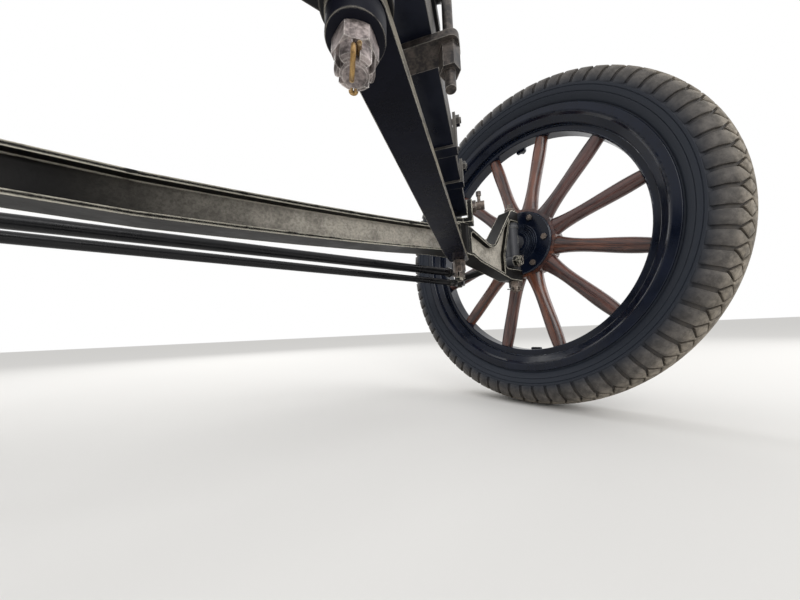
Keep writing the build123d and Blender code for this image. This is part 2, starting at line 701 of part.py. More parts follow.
    # Strap from under the boss to the bracket: level at the perch, then rising to its front bolt
    plan = Plane(origin=car(side * PERCH_X, 0, 0), x_dir=strap_way(side), z_dir=UP)
    past = STRAP_RUN + STRAP_WIDTH
    past_top = BEAM_END_BOTTOM + STRAP_SLOPE * (past - STRAP_BEND)
    with BuildPart() as strap:
        with BuildSketch(upright(side, strap_way(side))):
            with BuildLine():
                FilletPolyline(
                    (-STRAP_WIDTH, BEAM_END_BOTTOM),
                    (STRAP_BEND, BEAM_END_BOTTOM),
                    (past, past_top),
                    (past, past_top - STRAP_THICK),
                    (STRAP_BEND, BEAM_END_BOTTOM - STRAP_THICK),
                    (-STRAP_WIDTH, BEAM_END_BOTTOM - STRAP_THICK),
                    close=True,
                    radius=[0, STRAP_CURVE, 0, 0, STRAP_CURVE, 0],
                )
            make_face()
        extrude(amount=STRAP_WIDTH, both=True)
        with BuildSketch(plan):
            with Locations((STRAP_RUN / 2, 0)):
                SlotCenterToCenter(STRAP_RUN, STRAP_WIDTH)
        extrude(amount=PAD_RISE, both=True, mode=Mode.INTERSECT)
        with BuildSketch(plan):
            Circle(PERCH_STUD_RADIUS + BOLT_FIT)
        extrude(amount=-PAD_RISE, mode=Mode.SUBTRACT)
        with BuildSketch(strap_end(side)):
            Circle(STRAP_BOLT_RADIUS + BOLT_FIT)
        extrude(amount=STRAP_WIDTH, both=True, mode=Mode.SUBTRACT)
    keep(strap, f"strap_{hand}")

# Front bracket: the frame pad, a wing over each spring, and a rib down to the strap lugs
pad = level(PAD_RISE, 0, -PAD_AHEAD)
pad_under = PAD_RISE - PAD_THICK
block_foot = leaf_height(SPRING_RUN, LEAF_COUNT) + SEAT_GAP
lug_seat = STRAP_THICK / 2 + SEAT_GAP
bar_top = STRAP_FRONT_HEIGHT + lug_seat + LUG_TALL - BAR_SINK
rib_waist = leaf_height(SPRING_RUN, LEAF_COUNT - 1) - 2 * WING_THICK
with BuildPart() as front_bracket:
    with BuildSketch(pad):
        RectangleRounded(PAD_LENGTH, PAD_WIDTH, PAD_CORNER)
    extrude(amount=-PAD_THICK)
    with BuildSketch(pad):
        RectangleRounded(BLOCK_LENGTH, BLOCK_WIDTH, PAD_CORNER)
    extrude(amount=block_foot - PAD_RISE)
    for side in SIDES.values():
        with BuildSketch(upright(side, spring_way(side))):
            with BuildLine():
                leaf_band(SPRING_RUN - WING_BACK, SPRING_RUN + WING_AHEAD, LEAF_COUNT, WING_THICK)
            make_face()
        extrude(amount=WING_WIDTH / 2, both=True)
    with BuildSketch(Plane(origin=car(0, 0, 0), x_dir=(0, 1, 0), z_dir=(1, 0, 0))):
        with BuildLine():
            FilletPolyline(
                (-PAD_AHEAD - RIB_NOSE, pad_under),
                (-PAD_AHEAD - RIB_NOSE, rib_waist),
                (-STRAP_AHEAD - RIB_TOE, bar_top - BAR_THICK),
                (-STRAP_AHEAD - RIB_HEEL, bar_top - BAR_THICK),
                (-STRAP_AHEAD - RIB_HEEL, bar_top + BAR_THICK),
                (-STRAP_AHEAD - RIB_CURVE, rib_waist),
                (-STRAP_AHEAD - RIB_CURVE - RIB_HEEL, pad_under),
                close=True,
                radius=[0, RIB_CURVE, 0.4 * RIB_CURVE, 0, 0.2 * RIB_CURVE, RIB_CURVE, 0],
            )
        make_face()
    extrude(amount=RIB_THICK / 2, both=True)
    with BuildSketch(level(bar_top)):
        with BuildLine():
            Polyline(
                (-STRAP_X, -STRAP_AHEAD + BAR_HALF), (STRAP_X, -STRAP_AHEAD + BAR_HALF),
                (STRAP_X, -STRAP_AHEAD - BAR_HALF), (2 * RIB_THICK, -STRAP_AHEAD - BAR_NOSE),
                (-2 * RIB_THICK, -STRAP_AHEAD - BAR_NOSE), (-STRAP_X, -STRAP_AHEAD - BAR_HALF),
                close=True,
            )
        make_face()
    extrude(amount=-BAR_THICK)
    for side in SIDES.values():
        lug_plane = strap_end(side).offset(lug_seat)
        with BuildSketch(lug_plane):
            Circle(LUG_RADIUS)
        extrude(amount=LUG_TALL)
        with BuildSketch(lug_plane):
            Circle(STRAP_BOLT_RADIUS + BOLT_FIT)
        extrude(amount=LUG_TALL, both=True, mode=Mode.SUBTRACT)
    with BuildSketch(pad):
        with GridLocations(PAD_HOLES_X, PAD_HOLES_Y, 2, 2):
            Circle(PAD_HOLE_RADIUS)
    extrude(amount=-PAD_THICK, mode=Mode.SUBTRACT)
keep(front_bracket, "front_bracket")

for hand, side in SIDES.items():
    # Clamps that hold a spring up against its wing: a plate below and a U bolt over the wing
    reach = WING_WIDTH / 2 + CLAMP_CLEAR + CLAMP_ROD
    crest = LEAF_COUNT * LAYER + WING_THICK + SEAT_GAP + CLAMP_ROD
    with BuildPart() as spring_clamps:
        for place, nut_tall, stud_past in CLAMPS:
            plane = leaf_plane(side, SPRING_RUN - place)
            plate_top = Plane(
                origin=plane.origin - plane.y_dir * SEAT_GAP, x_dir=plane.x_dir,
                z_dir=-plane.y_dir,
            )
            with BuildSketch(plate_top):
                plate_wide = 2 * reach + 4 * CLAMP_ROD
                RectangleRounded(plate_wide, CLAMP_PLATE_LONG, CLAMP_PLATE_CORNER)
            extrude(amount=CLAMP_PLATE)
            foot = -SEAT_GAP - CLAMP_PLATE - nut_tall - stud_past
            with BuildLine(plane) as bow:
                FilletPolyline(
                    (-reach, foot), (-reach, crest), (reach, crest), (reach, foot),
                    radius=CLAMP_CURVE,
                )
            with BuildSketch(Plane(origin=bow.line @ 0, z_dir=bow.line % 0)):
                Circle(CLAMP_ROD)
            sweep(path=bow.line)
            for edge in (-reach, reach):
                seat = plate_top.offset(CLAMP_PLATE)
                seat.origin += plane.x_dir * edge
                add(hexagon(seat, CLAMP_NUT_FLATS, nut_tall))
    keep(spring_clamps, f"spring_clamps_{hand}")

    # Bolt down through the strap's front end, with a washer and a castle nut under it
    top_seat = lug_seat + LUG_TALL
    low_seat = -STRAP_THICK / 2 - SEAT_GAP - STRAP_WASHER_THICK
    bolt_end = low_seat - STRAP_NUT_TALL - STRAP_NUT_CROWN - STRAP_BOLT_PAST
    middle = strap_end(side)
    underside = Plane(
        origin=middle.origin + middle.z_dir * low_seat, x_dir=middle.x_dir, z_dir=-middle.z_dir
    )
    with BuildPart() as strap_bolt:
        with BuildSketch(middle.offset(bolt_end)):
            Circle(STRAP_BOLT_RADIUS)
        extrude(amount=top_seat - bolt_end)
        add(hexagon(middle.offset(top_seat), STRAP_NUT_FLATS, STRAP_HEAD_THICK))
        with BuildSketch(middle.offset(low_seat)):
            Circle(STRAP_WASHER_RADIUS)
        extrude(amount=STRAP_WASHER_THICK)
        add(castle_nut(
            underside, STRAP_NUT_FLATS, STRAP_NUT_TALL, STRAP_NUT_CROWN,
            STRAP_BOLT_RADIUS - BOLT_MERGE,
        ))
    keep(strap_bolt, f"strap_bolt_{hand}")

    # King bolt: flanged head with an oil cup above, castle nut below
    king_end = EAR_BOTTOM - KING_NUT_TALL - KING_NUT_CROWN - KING_BOLT_PAST
    with BuildPart() as king_bolt:
        with BuildSketch(level(king_end, side * KING_X)):
            Circle(KING_RADIUS)
        extrude(amount=EAR_TOP - king_end)
        with BuildSketch(level(EAR_TOP, side * KING_X)):
            Circle(KING_HEAD_RADIUS)
        extrude(amount=KING_HEAD_THICK)
        hex_seat = level(EAR_TOP + KING_HEAD_THICK, side * KING_X)
        add(hexagon(hex_seat, KING_HEX_FLATS, KING_HEX_THICK))
        with BuildSketch(hex_seat):
            Circle(CUP_RADIUS)
        extrude(amount=KING_HEX_THICK + KING_CUP_TALL)
        add(castle_nut(
            below(EAR_BOTTOM, side * KING_X), KING_NUT_FLATS, KING_NUT_TALL, KING_NUT_CROWN,
            KING_RADIUS - BOLT_MERGE,
        ))
    keep(king_bolt, f"king_bolt_{hand}")

    # Knuckle: a barrel on the king bolt, with the spindle that carries the wheel
    shank_x = side * (KING_X - ARM_INSET)
    arm_lug = Plane(origin=car(shank_x, 0, ARM_HEIGHT), x_dir=(1, 0, 0), z_dir=(0, -1, 0))
    with BuildPart() as knuckle:
        with BuildSketch(level(KNUCKLE_BOTTOM + THRUST_GAP, side * KING_X)):
            Circle(BARREL_RADIUS)
        extrude(amount=KNUCKLE_TOP - KNUCKLE_BOTTOM - 2 * THRUST_GAP)
        with BuildSketch(level(BARREL_RING_HEIGHT, side * KING_X)):
            Circle(BARREL_RADIUS + BARREL_RING_STEP)
        extrude(amount=BARREL_RING_THICK)
        with BuildSketch(spin_profile(side)):
            root = -KING_INSET
            collar_end = HUB_INNER_END - THRUST_GAP
            tip_start = SPINDLE_LENGTH - SPINDLE_TIP_LENGTH
            with BuildLine():
                Polyline(
                    (root, 0), (root, COLLAR_RADIUS), (collar_end, COLLAR_RADIUS),
                    (collar_end, SPINDLE_RADIUS), (tip_start, SPINDLE_RADIUS),
                    (tip_start, SPINDLE_TIP_RADIUS), (SPINDLE_LENGTH, SPINDLE_TIP_RADIUS),
                    (SPINDLE_LENGTH, 0), close=True,
                )
            make_face()
        revolve(axis=wheel_axis(side))
        with BuildSketch(arm_lug):
            Circle(ARM_RADIUS + ARM_LUG_WALL)
        extrude(amount=BARREL_RADIUS, both=True)
        with BuildSketch(arm_lug):
            Circle(ARM_RADIUS + BOLT_FIT)
        extrude(amount=BARREL_RADIUS, both=True, mode=Mode.SUBTRACT)
        with BuildSketch(level(EAR_BOTTOM, side * KING_X)):
            Circle(KING_RADIUS + RUN_FIT)
        extrude(amount=EAR_TOP - EAR_BOTTOM, mode=Mode.SUBTRACT)
    keep(knuckle, f"knuckle_{hand}")

    # Steering arm: shank through the lug, then back to the stud that carries the rods
    nut_face = -BARREL_RADIUS
    shank_start = nut_face - ARM_NUT_TALL - ARM_NUT_CROWN - ARM_BOLT_PAST
    with BuildPart() as steering_arm:
        with BuildLine() as arm_path:
            Spline(
                car(shank_x, BARREL_RADIUS + ARM_SHOULDER / 2, ARM_HEIGHT),
                car(side * KING_X, BALL_BEHIND - ROD_EYE_RADIUS, ARM_END_HEIGHT),
                tangents=[(0, 1, 0), (0, 1, 0)],
            )
        with BuildSketch(Plane(origin=arm_path.line @ 0, z_dir=arm_path.line % 0)):
            Circle(ARM_SWELL)
        sweep(path=arm_path.line)
        with BuildSketch(arm_lug.offset(-BARREL_RADIUS)):
            Circle(ARM_RADIUS + ARM_LUG_WALL - ARM_LUG_STEP)
        extrude(amount=-ARM_SHOULDER)
        with BuildSketch(arm_lug.offset(-shank_start)):
            Circle(ARM_RADIUS)
        extrude(amount=shank_start - BARREL_RADIUS - ARM_SHOULDER / 2)
        add(castle_nut(
            arm_lug.offset(BARREL_RADIUS), ARM_NUT_FLATS, ARM_NUT_TALL, ARM_NUT_CROWN,
            ARM_RADIUS - BOLT_MERGE,
        ))
        with BuildSketch(level(ARM_END_HEIGHT, side * KING_X, BALL_BEHIND)):
            Circle(ROD_EYE_RADIUS - ARM_EYE_STEP)
            with Locations((0, -ROD_EYE_RADIUS)):
                Rectangle(2 * ARM_SWELL, 2 * ROD_EYE_RADIUS)
        extrude(amount=ARM_END_THICK / 2, both=True)
        stud_low = DRAG_HEIGHT - ROD_EYE_THICK / 2 - STUD_PAST if side > 0 else ARM_END_HEIGHT
        with BuildSketch(level(stud_low, side * KING_X, BALL_BEHIND)):
            Circle(BALL_STUD_RADIUS)
        extrude(amount=TIE_HEIGHT + ROD_EYE_THICK / 2 + STUD_PAST - stud_low)
    keep(steering_arm, f"steering_arm_{hand}")


def rod_end(eye, way, radius, bore):
    """Rod's end at a point: a flat eye, a neck that thickens to the rod, and a lock nut."""
    across = UP.cross(way)
    neck = Plane(origin=eye, x_dir=way, z_dir=-across)
    with BuildPart() as end:
        with BuildSketch(neck):
            with BuildLine():
                Polyline(
                    (ROD_EYE_RADIUS / 2, 0), (ROD_EYE_RADIUS / 2, ROD_EYE_THICK / 2),
                    (ROD_NECK / 2, ROD_EYE_THICK / 2 + ROD_SWELL), (ROD_NECK, radius),
                    (ROD_NECK, 0), close=True,
                )
            make_face()
        revolve(axis=Axis(eye, way))
        with BuildSketch(Plane(origin=eye, x_dir=way, z_dir=UP)):
            Circle(ROD_EYE_RADIUS)
        extrude(amount=ROD_EYE_THICK / 2, both=True)
        lock = Plane(origin=eye + way * (ROD_NECK - ROD_NUT_THICK), x_dir=UP, z_dir=way)
        add(hexagon(lock, ROD_NUT_FLATS * radius / TIE_RADIUS, ROD_NUT_THICK))
        with BuildSketch(Plane(origin=eye, x_dir=way, z_dir=UP)):
            Circle(bore)
        extrude(amount=ROD_EYE_THICK, both=True, mode=Mode.SUBTRACT)
    return end.part


def rod(start, end, radius):
    """Plain rod between two eyes."""
    way = (end - start).normalized()
    with BuildPart() as bar:
        with BuildSketch(Plane(origin=start + way * ROD_NECK, z_dir=way)):
            Circle(radius)
        extrude(amount=(end - start).length - 2 * ROD_NECK)
    return bar.part


# Tie rod across the car behind the axle, with an eye over each arm's stud
tie_left = car(KING_X, BALL_BEHIND, TIE_HEIGHT)
tie_right = car(-KING_X, BALL_BEHIND, TIE_HEIGHT)
with BuildPart() as tie_rod:
    add(rod(tie_left, tie_right, TIE_RADIUS))
    add(rod_end(tie_left, Vector(-1, 0, 0), TIE_RADIUS, BALL_STUD_RADIUS + RUN_FIT))
    add(rod_end(tie_right, Vector(1, 0, 0), TIE_RADIUS, BALL_STUD_RADIUS + RUN_FIT))
keep(tie_rod, "tie_rod")

# Drag link from the left arm's stud towards the steering box on the right side
drag_start = car(KING_X, BALL_BEHIND, DRAG_HEIGHT)
drag_end = car(DRAG_END_X, DRAG_END_BEHIND, DRAG_HEIGHT)
drag_way = (drag_end - drag_start).normalized()
with BuildPart() as drag_link:
    add(rod(drag_start, drag_end, DRAG_RADIUS))
    add(rod_end(drag_start, drag_way, DRAG_RADIUS, BALL_STUD_RADIUS + RUN_FIT))
    add(rod_end(drag_end, -drag_way, DRAG_RADIUS, DRAG_BORE_RADIUS))
keep(drag_link, "drag_link")


# Wheels
def hub_edge():
    """Half section of the hub: stepped boss, inner flange, barrel and nose."""
    bore = SPINDLE_RADIUS + RUN_FIT
    steps = [(HUB_INNER_END, bore), (HUB_INNER_END, HUB_RINGS[-1])]
    for number, radius in enumerate(reversed(HUB_RINGS), start=1):
        face = HUB_INNER_END + number * HUB_RING_DEPTH
        steps.append((face, radius))
        if number < len(HUB_RINGS):
            steps.append((face, HUB_RINGS[-1 - number]))
    Polyline(
        *steps,
        (HUB_INNER_FACE, HUB_FLANGE_RADIUS - HUB_CHAMFER),
        (HUB_INNER_FACE + HUB_CHAMFER, HUB_FLANGE_RADIUS),
        (HUB_IN, HUB_FLANGE_RADIUS),
        (HUB_IN, HUB_BARREL_RADIUS),
        (HUB_OUT + CAP_START, HUB_BARREL_RADIUS),
        (HUB_NOSE, HUB_BARREL_RADIUS - NOSE_TAPER),
        (HUB_NOSE, bore),
        close=True,
    )


def cap_edge():
    """Half section of the hub cap: a skirt over the nose, closed by a dome on the axis."""
    seat = HUB_BARREL_RADIUS + SEAT_GAP
    start = HUB_OUT + CAP_START
    nose = HUB_NOSE + SEAT_GAP
    dome_start = HUB_NOSE + 2 * CAP_WALL
    hollow = HUB_BARREL_RADIUS - NOSE_TAPER
    tip = dome_start + CAP_DOME
    dome_radius = (seat ** 2 + CAP_DOME ** 2) / (2 * CAP_DOME)
    mid_rise = (dome_radius ** 2 - (seat / 2) ** 2) ** 0.5 - (dome_radius - CAP_DOME)
    Polyline((start, seat), (start, seat + CAP_WALL), (dome_start, seat))
    ThreePointArc((dome_start, seat), (dome_start + mid_rise, seat / 2), (tip, 0))
    end = SPINDLE_LENGTH + CAP_CLEAR
    Polyline(
        (tip, 0), (end, 0), (end, SPINDLE_TIP_RADIUS + CAP_CLEAR),
        (HUB_NOSE + CAP_WALL, hollow), (nose, hollow), (nose, seat), (start, seat),
    )


def casing_edge(wall, tread, bead_x, bead_radius):
    """Half of the tyre's round section, from the crown to the bead, inside the outer one."""
    crown = TYRE_RADIUS - tread
    shoulder = (TREAD_HALF - 0.6 * wall, crown - TREAD_DROP)
    widest = (TYRE_WIDTH / 2 - wall, TYRE_RADIUS - TYRE_MIDDLE)
    TangentArc((0, crown), shoulder, tangent=(1, 0))
    ThreePointArc(
        shoulder,
        (0.25 * shoulder[0] + 0.75 * widest[0], 0.6 * shoulder[1] + 0.4 * widest[1]),
        widest,
    )
    TangentArc(widest, (bead_x, bead_radius), tangent=(0, -1))


for hand, side in SIDES.items():
    bolt_hole = HUB_BOLT_RADIUS + BOLT_FIT
    with BuildPart() as hub:
        with BuildSketch(spin_profile(side)):
            with BuildLine():
                hub_edge()
            make_face()
        revolve(axis=wheel_axis(side))
        with BuildSketch(wheel_plane(side, HUB_INNER_FACE)):
            with PolarLocations(HUB_BOLT_CIRCLE / 2, HUB_BOLTS):
                Circle(bolt_hole)
        extrude(amount=HUB_FLANGE_THICK, mode=Mode.SUBTRACT)
    keep(hub, f"hub_{hand}")

    with BuildPart() as hub_plate:
        with BuildSketch(wheel_plane(side, HUB_OUT)):
            Circle(HUB_FLANGE_RADIUS - PLATE_INSET)
            Circle(HUB_BARREL_RADIUS + BOLT_FIT, mode=Mode.SUBTRACT)
            with PolarLocations(HUB_BOLT_CIRCLE / 2, HUB_BOLTS):
                Circle(bolt_hole, mode=Mode.SUBTRACT)
        extrude(amount=HUB_FLANGE_THICK)
    keep(hub_plate, f"hub_plate_{hand}")

    with BuildPart() as hub_bolts:
        with BuildSketch(wheel_plane(side, HUB_INNER_FACE)):
            with PolarLocations(HUB_BOLT_CIRCLE / 2, HUB_BOLTS):
                Circle(HUB_BOLT_RADIUS)
        extrude(amount=SPOKE_DEPTH + 2 * HUB_FLANGE_THICK)
        with BuildSketch(wheel_plane(side, HUB_INNER_FACE)):
            with PolarLocations(HUB_BOLT_CIRCLE / 2, HUB_BOLTS):
                RegularPolygon(HUB_HEAD_FLATS / 2, 6, major_radius=False)
        extrude(amount=-HUB_HEAD_THICK)
        with BuildSketch(wheel_plane(side, HUB_OUT + HUB_FLANGE_THICK)):
            with PolarLocations(HUB_BOLT_CIRCLE / 2, HUB_BOLTS):
                RegularPolygon(HUB_NUT_FLATS / 2, 6, major_radius=False)
        extrude(amount=HUB_NUT_THICK)
    keep(hub_bolts, f"hub_bolts_{hand}")

    with BuildPart() as hub_cap:
        with BuildSketch(spin_profile(side)):
            with BuildLine():
                cap_edge()
            make_face()
        revolve(axis=wheel_axis(side))
        with BuildSketch(wheel_plane(side, HUB_OUT + CAP_START)):
            RegularPolygon(CAP_BAND_FLATS / 2, 6, major_radius=False)
            Circle(HUB_BARREL_RADIUS + SEAT_GAP, mode=Mode.SUBTRACT)
        extrude(amount=CAP_BAND_LONG)
    keep(hub_cap, f"hub_cap_{hand}")

    # One spoke: a wedge at the hub, then a round throat and a tapering oval blade
    half_angle = radians(180 / SPOKES)
    trim = SPOKE_GAP / 2 / cos(half_angle)
    wedge_start = HUB_BARREL_RADIUS + SEAT_GAP
    wedge_end = HUB_FLANGE_RADIUS + WEDGE_PAST
    blade_half = BLADE[-1][1] / 2
    blade_end = ((FELLOE_RADIUS - SEAT_GAP) ** 2 - blade_half ** 2) ** 0.5
    axis_plane = wheel_plane(side, SPOKE_OFFSET)
    with BuildPart() as spoke:
        with BuildSketch(axis_plane):
            with BuildLine():
                Polyline(
                    (wedge_start, wedge_start * tan(half_angle) - trim),
                    (wedge_end, wedge_end * tan(half_angle) - trim),
                    (wedge_end, -wedge_end * tan(half_angle) + trim),
                    (wedge_start, -wedge_start * tan(half_angle) + trim),
                    close=True,
                )
            make_face()
        extrude(amount=SPOKE_DEPTH / 2, both=True)
        for share, wide, deep in BLADE:
            radius = wedge_end + share * (blade_end - wedge_end)
            across_blade = Plane(
                origin=axis_plane.origin + axis_plane.x_dir * radius,
                x_dir=axis_plane.y_dir, z_dir=axis_plane.x_dir,
            )
            with BuildSketch(across_blade):
                Ellipse(wide / 2, deep / 2)
        loft()
    with BuildPart() as spokes:
        for number in range(SPOKES):
            turn = (number + 0.5) * 360 / SPOKES
            add(spoke.part.rotate(wheel_axis(side), turn))
        with BuildSketch(wheel_plane(side, HUB_IN)):
            with PolarLocations(HUB_BOLT_CIRCLE / 2, HUB_BOLTS):
                Circle(bolt_hole)
        extrude(amount=SPOKE_DEPTH, mode=Mode.SUBTRACT)
    keep(spokes, f"spokes_{hand}")

    # Steel felloe: a channel around the spokes, open outwards
    felloe_top = RIM_WELL_RADIUS - SEAT_GAP
    with BuildPart() as felloe:
        with BuildSketch(spin_profile(side)):
            with BuildLine():
                FilletPolyline(
                    (FELLOE_LOW, felloe_top),
                    (FELLOE_LOW, FELLOE_RADIUS),
                    (FELLOE_HIGH, FELLOE_RADIUS),
                    (FELLOE_HIGH, felloe_top),
                    (FELLOE_HIGH - FELLOE_THICK, felloe_top),
                    (FELLOE_HIGH - FELLOE_THICK, FELLOE_RADIUS + FELLOE_THICK),
                    (FELLOE_LOW + FELLOE_THICK, FELLOE_RADIUS + FELLOE_THICK),
                    (FELLOE_LOW + FELLOE_THICK, felloe_top),
                    close=True,
                    radius=[0, FELLOE_CURVE, FELLOE_CURVE, 0, 0, 0, 0, 0],
                )
            make_face()
        revolve(axis=wheel_axis(side))
    keep(felloe, f"felloe_{hand}")

    # Demountable rim: a rolled steel channel with a rounded flange each side
    half = RIM_WIDTH / 2
    well = RIM_WELL_WIDTH / 2
    ledge = half - RIM_LEDGE
    tip = RIM_THICK / 2 - 0.1
    with BuildPart() as rim:
        with BuildSketch(spin_profile(side)):
            with BuildLine():
                FilletPolyline(
                    (-well, RIM_WELL_RADIUS), (well, RIM_WELL_RADIUS),
                    (ledge, RIM_SEAT_RADIUS - RIM_THICK), (half, RIM_SEAT_RADIUS),
                    (half, RIM_FLANGE_RADIUS), (half - RIM_THICK, RIM_FLANGE_RADIUS),
                    (half - RIM_THICK, RIM_SEAT_RADIUS + BEAD_RISE),
                    (ledge - 2, RIM_SEAT_RADIUS), (well - 2, RIM_WELL_RADIUS + RIM_THICK),
                    (2 - well, RIM_WELL_RADIUS + RIM_THICK), (2 - ledge, RIM_SEAT_RADIUS),
                    (RIM_THICK - half, RIM_SEAT_RADIUS + BEAD_RISE),
                    (RIM_THICK - half, RIM_FLANGE_RADIUS), (-half, RIM_FLANGE_RADIUS),
                    (-half, RIM_SEAT_RADIUS), (-ledge, RIM_SEAT_RADIUS - RIM_THICK),
                    close=True,
                    radius=[
                        RIM_WELL_CURVE, RIM_WELL_CURVE, 0, RIM_FLANGE_CURVE, tip, tip, 0, 0, 0, 0,
                        0, 0, tip, tip, RIM_FLANGE_CURVE, 0,
                    ],
                )
            make_face()
        revolve(axis=wheel_axis(side))
    keep(rim, f"rim_{hand}")

    # Rim lugs: wedges that hold the rim on the felloe, midway between spokes
    lug_plane = wheel_plane(side, FELLOE_HIGH + SEAT_GAP)
    lug_middle = RIM_WELL_RADIUS - SEAT_GAP - LUG_LONG / 2
    with BuildPart() as rim_lugs:
        with BuildSketch(lug_plane):
            with PolarLocations(lug_middle, RIM_LUGS):
                RectangleRounded(LUG_LONG, LUG_WIDE, LUG_CORNER)
        extrude(amount=LUG_THICK)
        with BuildSketch(lug_plane.offset(LUG_THICK)):
            with PolarLocations(lug_middle, RIM_LUGS):
                RegularPolygon(LUG_NUT_FLATS / 2, 6, major_radius=False)
        extrude(amount=LUG_NUT_THICK)
    keep(rim_lugs, f"rim_lugs_{hand}")

    # Tyre: a hollow casing whose two beads sit on the rim's ledges
    bead = half - RIM_THICK - SEAT_GAP
    seat = RIM_SEAT_RADIUS + BEAD_RISE + SEAT_GAP
    bead_top = RIM_FLANGE_RADIUS + BEAD_RISE
    with BuildPart() as tyre:
        with BuildSketch(spin_profile(side)):
            with BuildLine():
                casing_edge(0, 0, bead, bead_top)
                Polyline(
                    (bead, bead_top), (bead, seat), (bead - BEAD_WIDTH, seat),
                    (bead - BEAD_WIDTH, bead_top + BEAD_HEEL),
                )
                casing_edge(TYRE_WALL, TYRE_TREAD, bead - BEAD_WIDTH, bead_top + BEAD_HEEL)
                Line((0, TYRE_RADIUS - TYRE_TREAD), (0, TYRE_RADIUS))
            make_face()
            mirror(about=Plane.YZ)
        revolve(axis=wheel_axis(side))
    keep(tyre, f"tyre_{hand}")
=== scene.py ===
"""Looks of a vintage car's front axle with wooden spoked wheels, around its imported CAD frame.

Lengths are in metres, in the frame of the CAD: the origin is the middle of the frame pad, +X is
towards the car's left side, +Y towards its rear and +Z is up.
"""
import json
import logging
import math
from dataclasses import dataclass
from enum import Enum
from functools import cached_property, reduce
from typing import Sequence

import bmesh
import bpy
from mathutils import Matrix, Vector


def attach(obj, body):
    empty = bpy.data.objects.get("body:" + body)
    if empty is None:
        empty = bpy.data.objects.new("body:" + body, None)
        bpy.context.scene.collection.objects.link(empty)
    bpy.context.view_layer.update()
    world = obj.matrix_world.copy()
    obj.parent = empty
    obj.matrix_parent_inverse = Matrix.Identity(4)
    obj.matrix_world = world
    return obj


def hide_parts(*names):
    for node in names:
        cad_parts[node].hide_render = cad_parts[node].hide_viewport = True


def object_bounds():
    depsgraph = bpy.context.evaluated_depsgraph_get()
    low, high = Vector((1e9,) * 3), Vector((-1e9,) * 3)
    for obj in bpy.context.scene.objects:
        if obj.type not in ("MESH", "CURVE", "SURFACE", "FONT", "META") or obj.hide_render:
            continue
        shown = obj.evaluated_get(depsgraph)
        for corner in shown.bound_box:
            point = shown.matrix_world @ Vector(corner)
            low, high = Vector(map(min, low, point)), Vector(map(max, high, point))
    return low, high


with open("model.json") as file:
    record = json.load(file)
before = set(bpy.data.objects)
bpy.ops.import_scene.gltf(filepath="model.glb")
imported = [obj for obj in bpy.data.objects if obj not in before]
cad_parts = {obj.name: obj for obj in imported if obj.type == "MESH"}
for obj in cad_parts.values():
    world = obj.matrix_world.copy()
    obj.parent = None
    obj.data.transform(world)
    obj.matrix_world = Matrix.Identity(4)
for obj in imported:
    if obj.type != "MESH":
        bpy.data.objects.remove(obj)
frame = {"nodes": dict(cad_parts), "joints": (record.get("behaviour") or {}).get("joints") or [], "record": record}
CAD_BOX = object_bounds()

Colour = tuple[float, float, float]
Point = tuple[float, float]              # of a flat outline or section
Place = tuple[float, float, float]       # or any three lengths or shares
Span = tuple[float, float]               # low and high end of a range
Sockets = tuple[tuple[str, str], ...]    # names and kinds of a node group's sockets

LOG = logging.getLogger("front_axle")
PHOTO_WIDTH = 800
AXLE_BEHIND = 0.340                      # axle's line, behind the frame pad
WHEELS_BELOW = 0.1868                    # wheels' centres, below the frame pad
WELD = 1e-6                              # points nearer than this become one
SLIVER = 1e-7                            # a cut nearer than this to a point goes through it
HAIR = 1e-9                              # keeps a distance just inside a line's end
HEXAGON = 6                              # sides of a hexagon
MIX_SOCKETS = {"RGBA": (0, 6, 7, 2), "FLOAT": (0, 2, 3, 0)}    # factor, low, high and result


class Hand(Enum):
    """Side of the car that a piece belongs to."""

    LEFT = "left"
    RIGHT = "right"

    @property
    def sign(self) -> int:
        """Sign of X on this side."""
        return 1 if self is Hand.LEFT else -1


class Slot(Enum):
    """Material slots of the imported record."""

    AXLE = "axle_paint"
    CHASSIS = "chassis_paint"
    STRAP = "strap_paint"
    SPRING = "spring_paint"
    ROD = "rod_paint"
    WHEEL = "wheel_paint"
    STEEL = "bare_steel"
    WOOD = "spoke_wood"
    TYRE = "tyre_rubber"


# Node trees


@dataclass(frozen=True)
class Pattern:
    """Noise of one scale, and the span of its values that a mask spreads over."""

    scale: float
    detail: float = 4.0
    rough: float = 0.55
    span: Span = (0.0, 1.0)


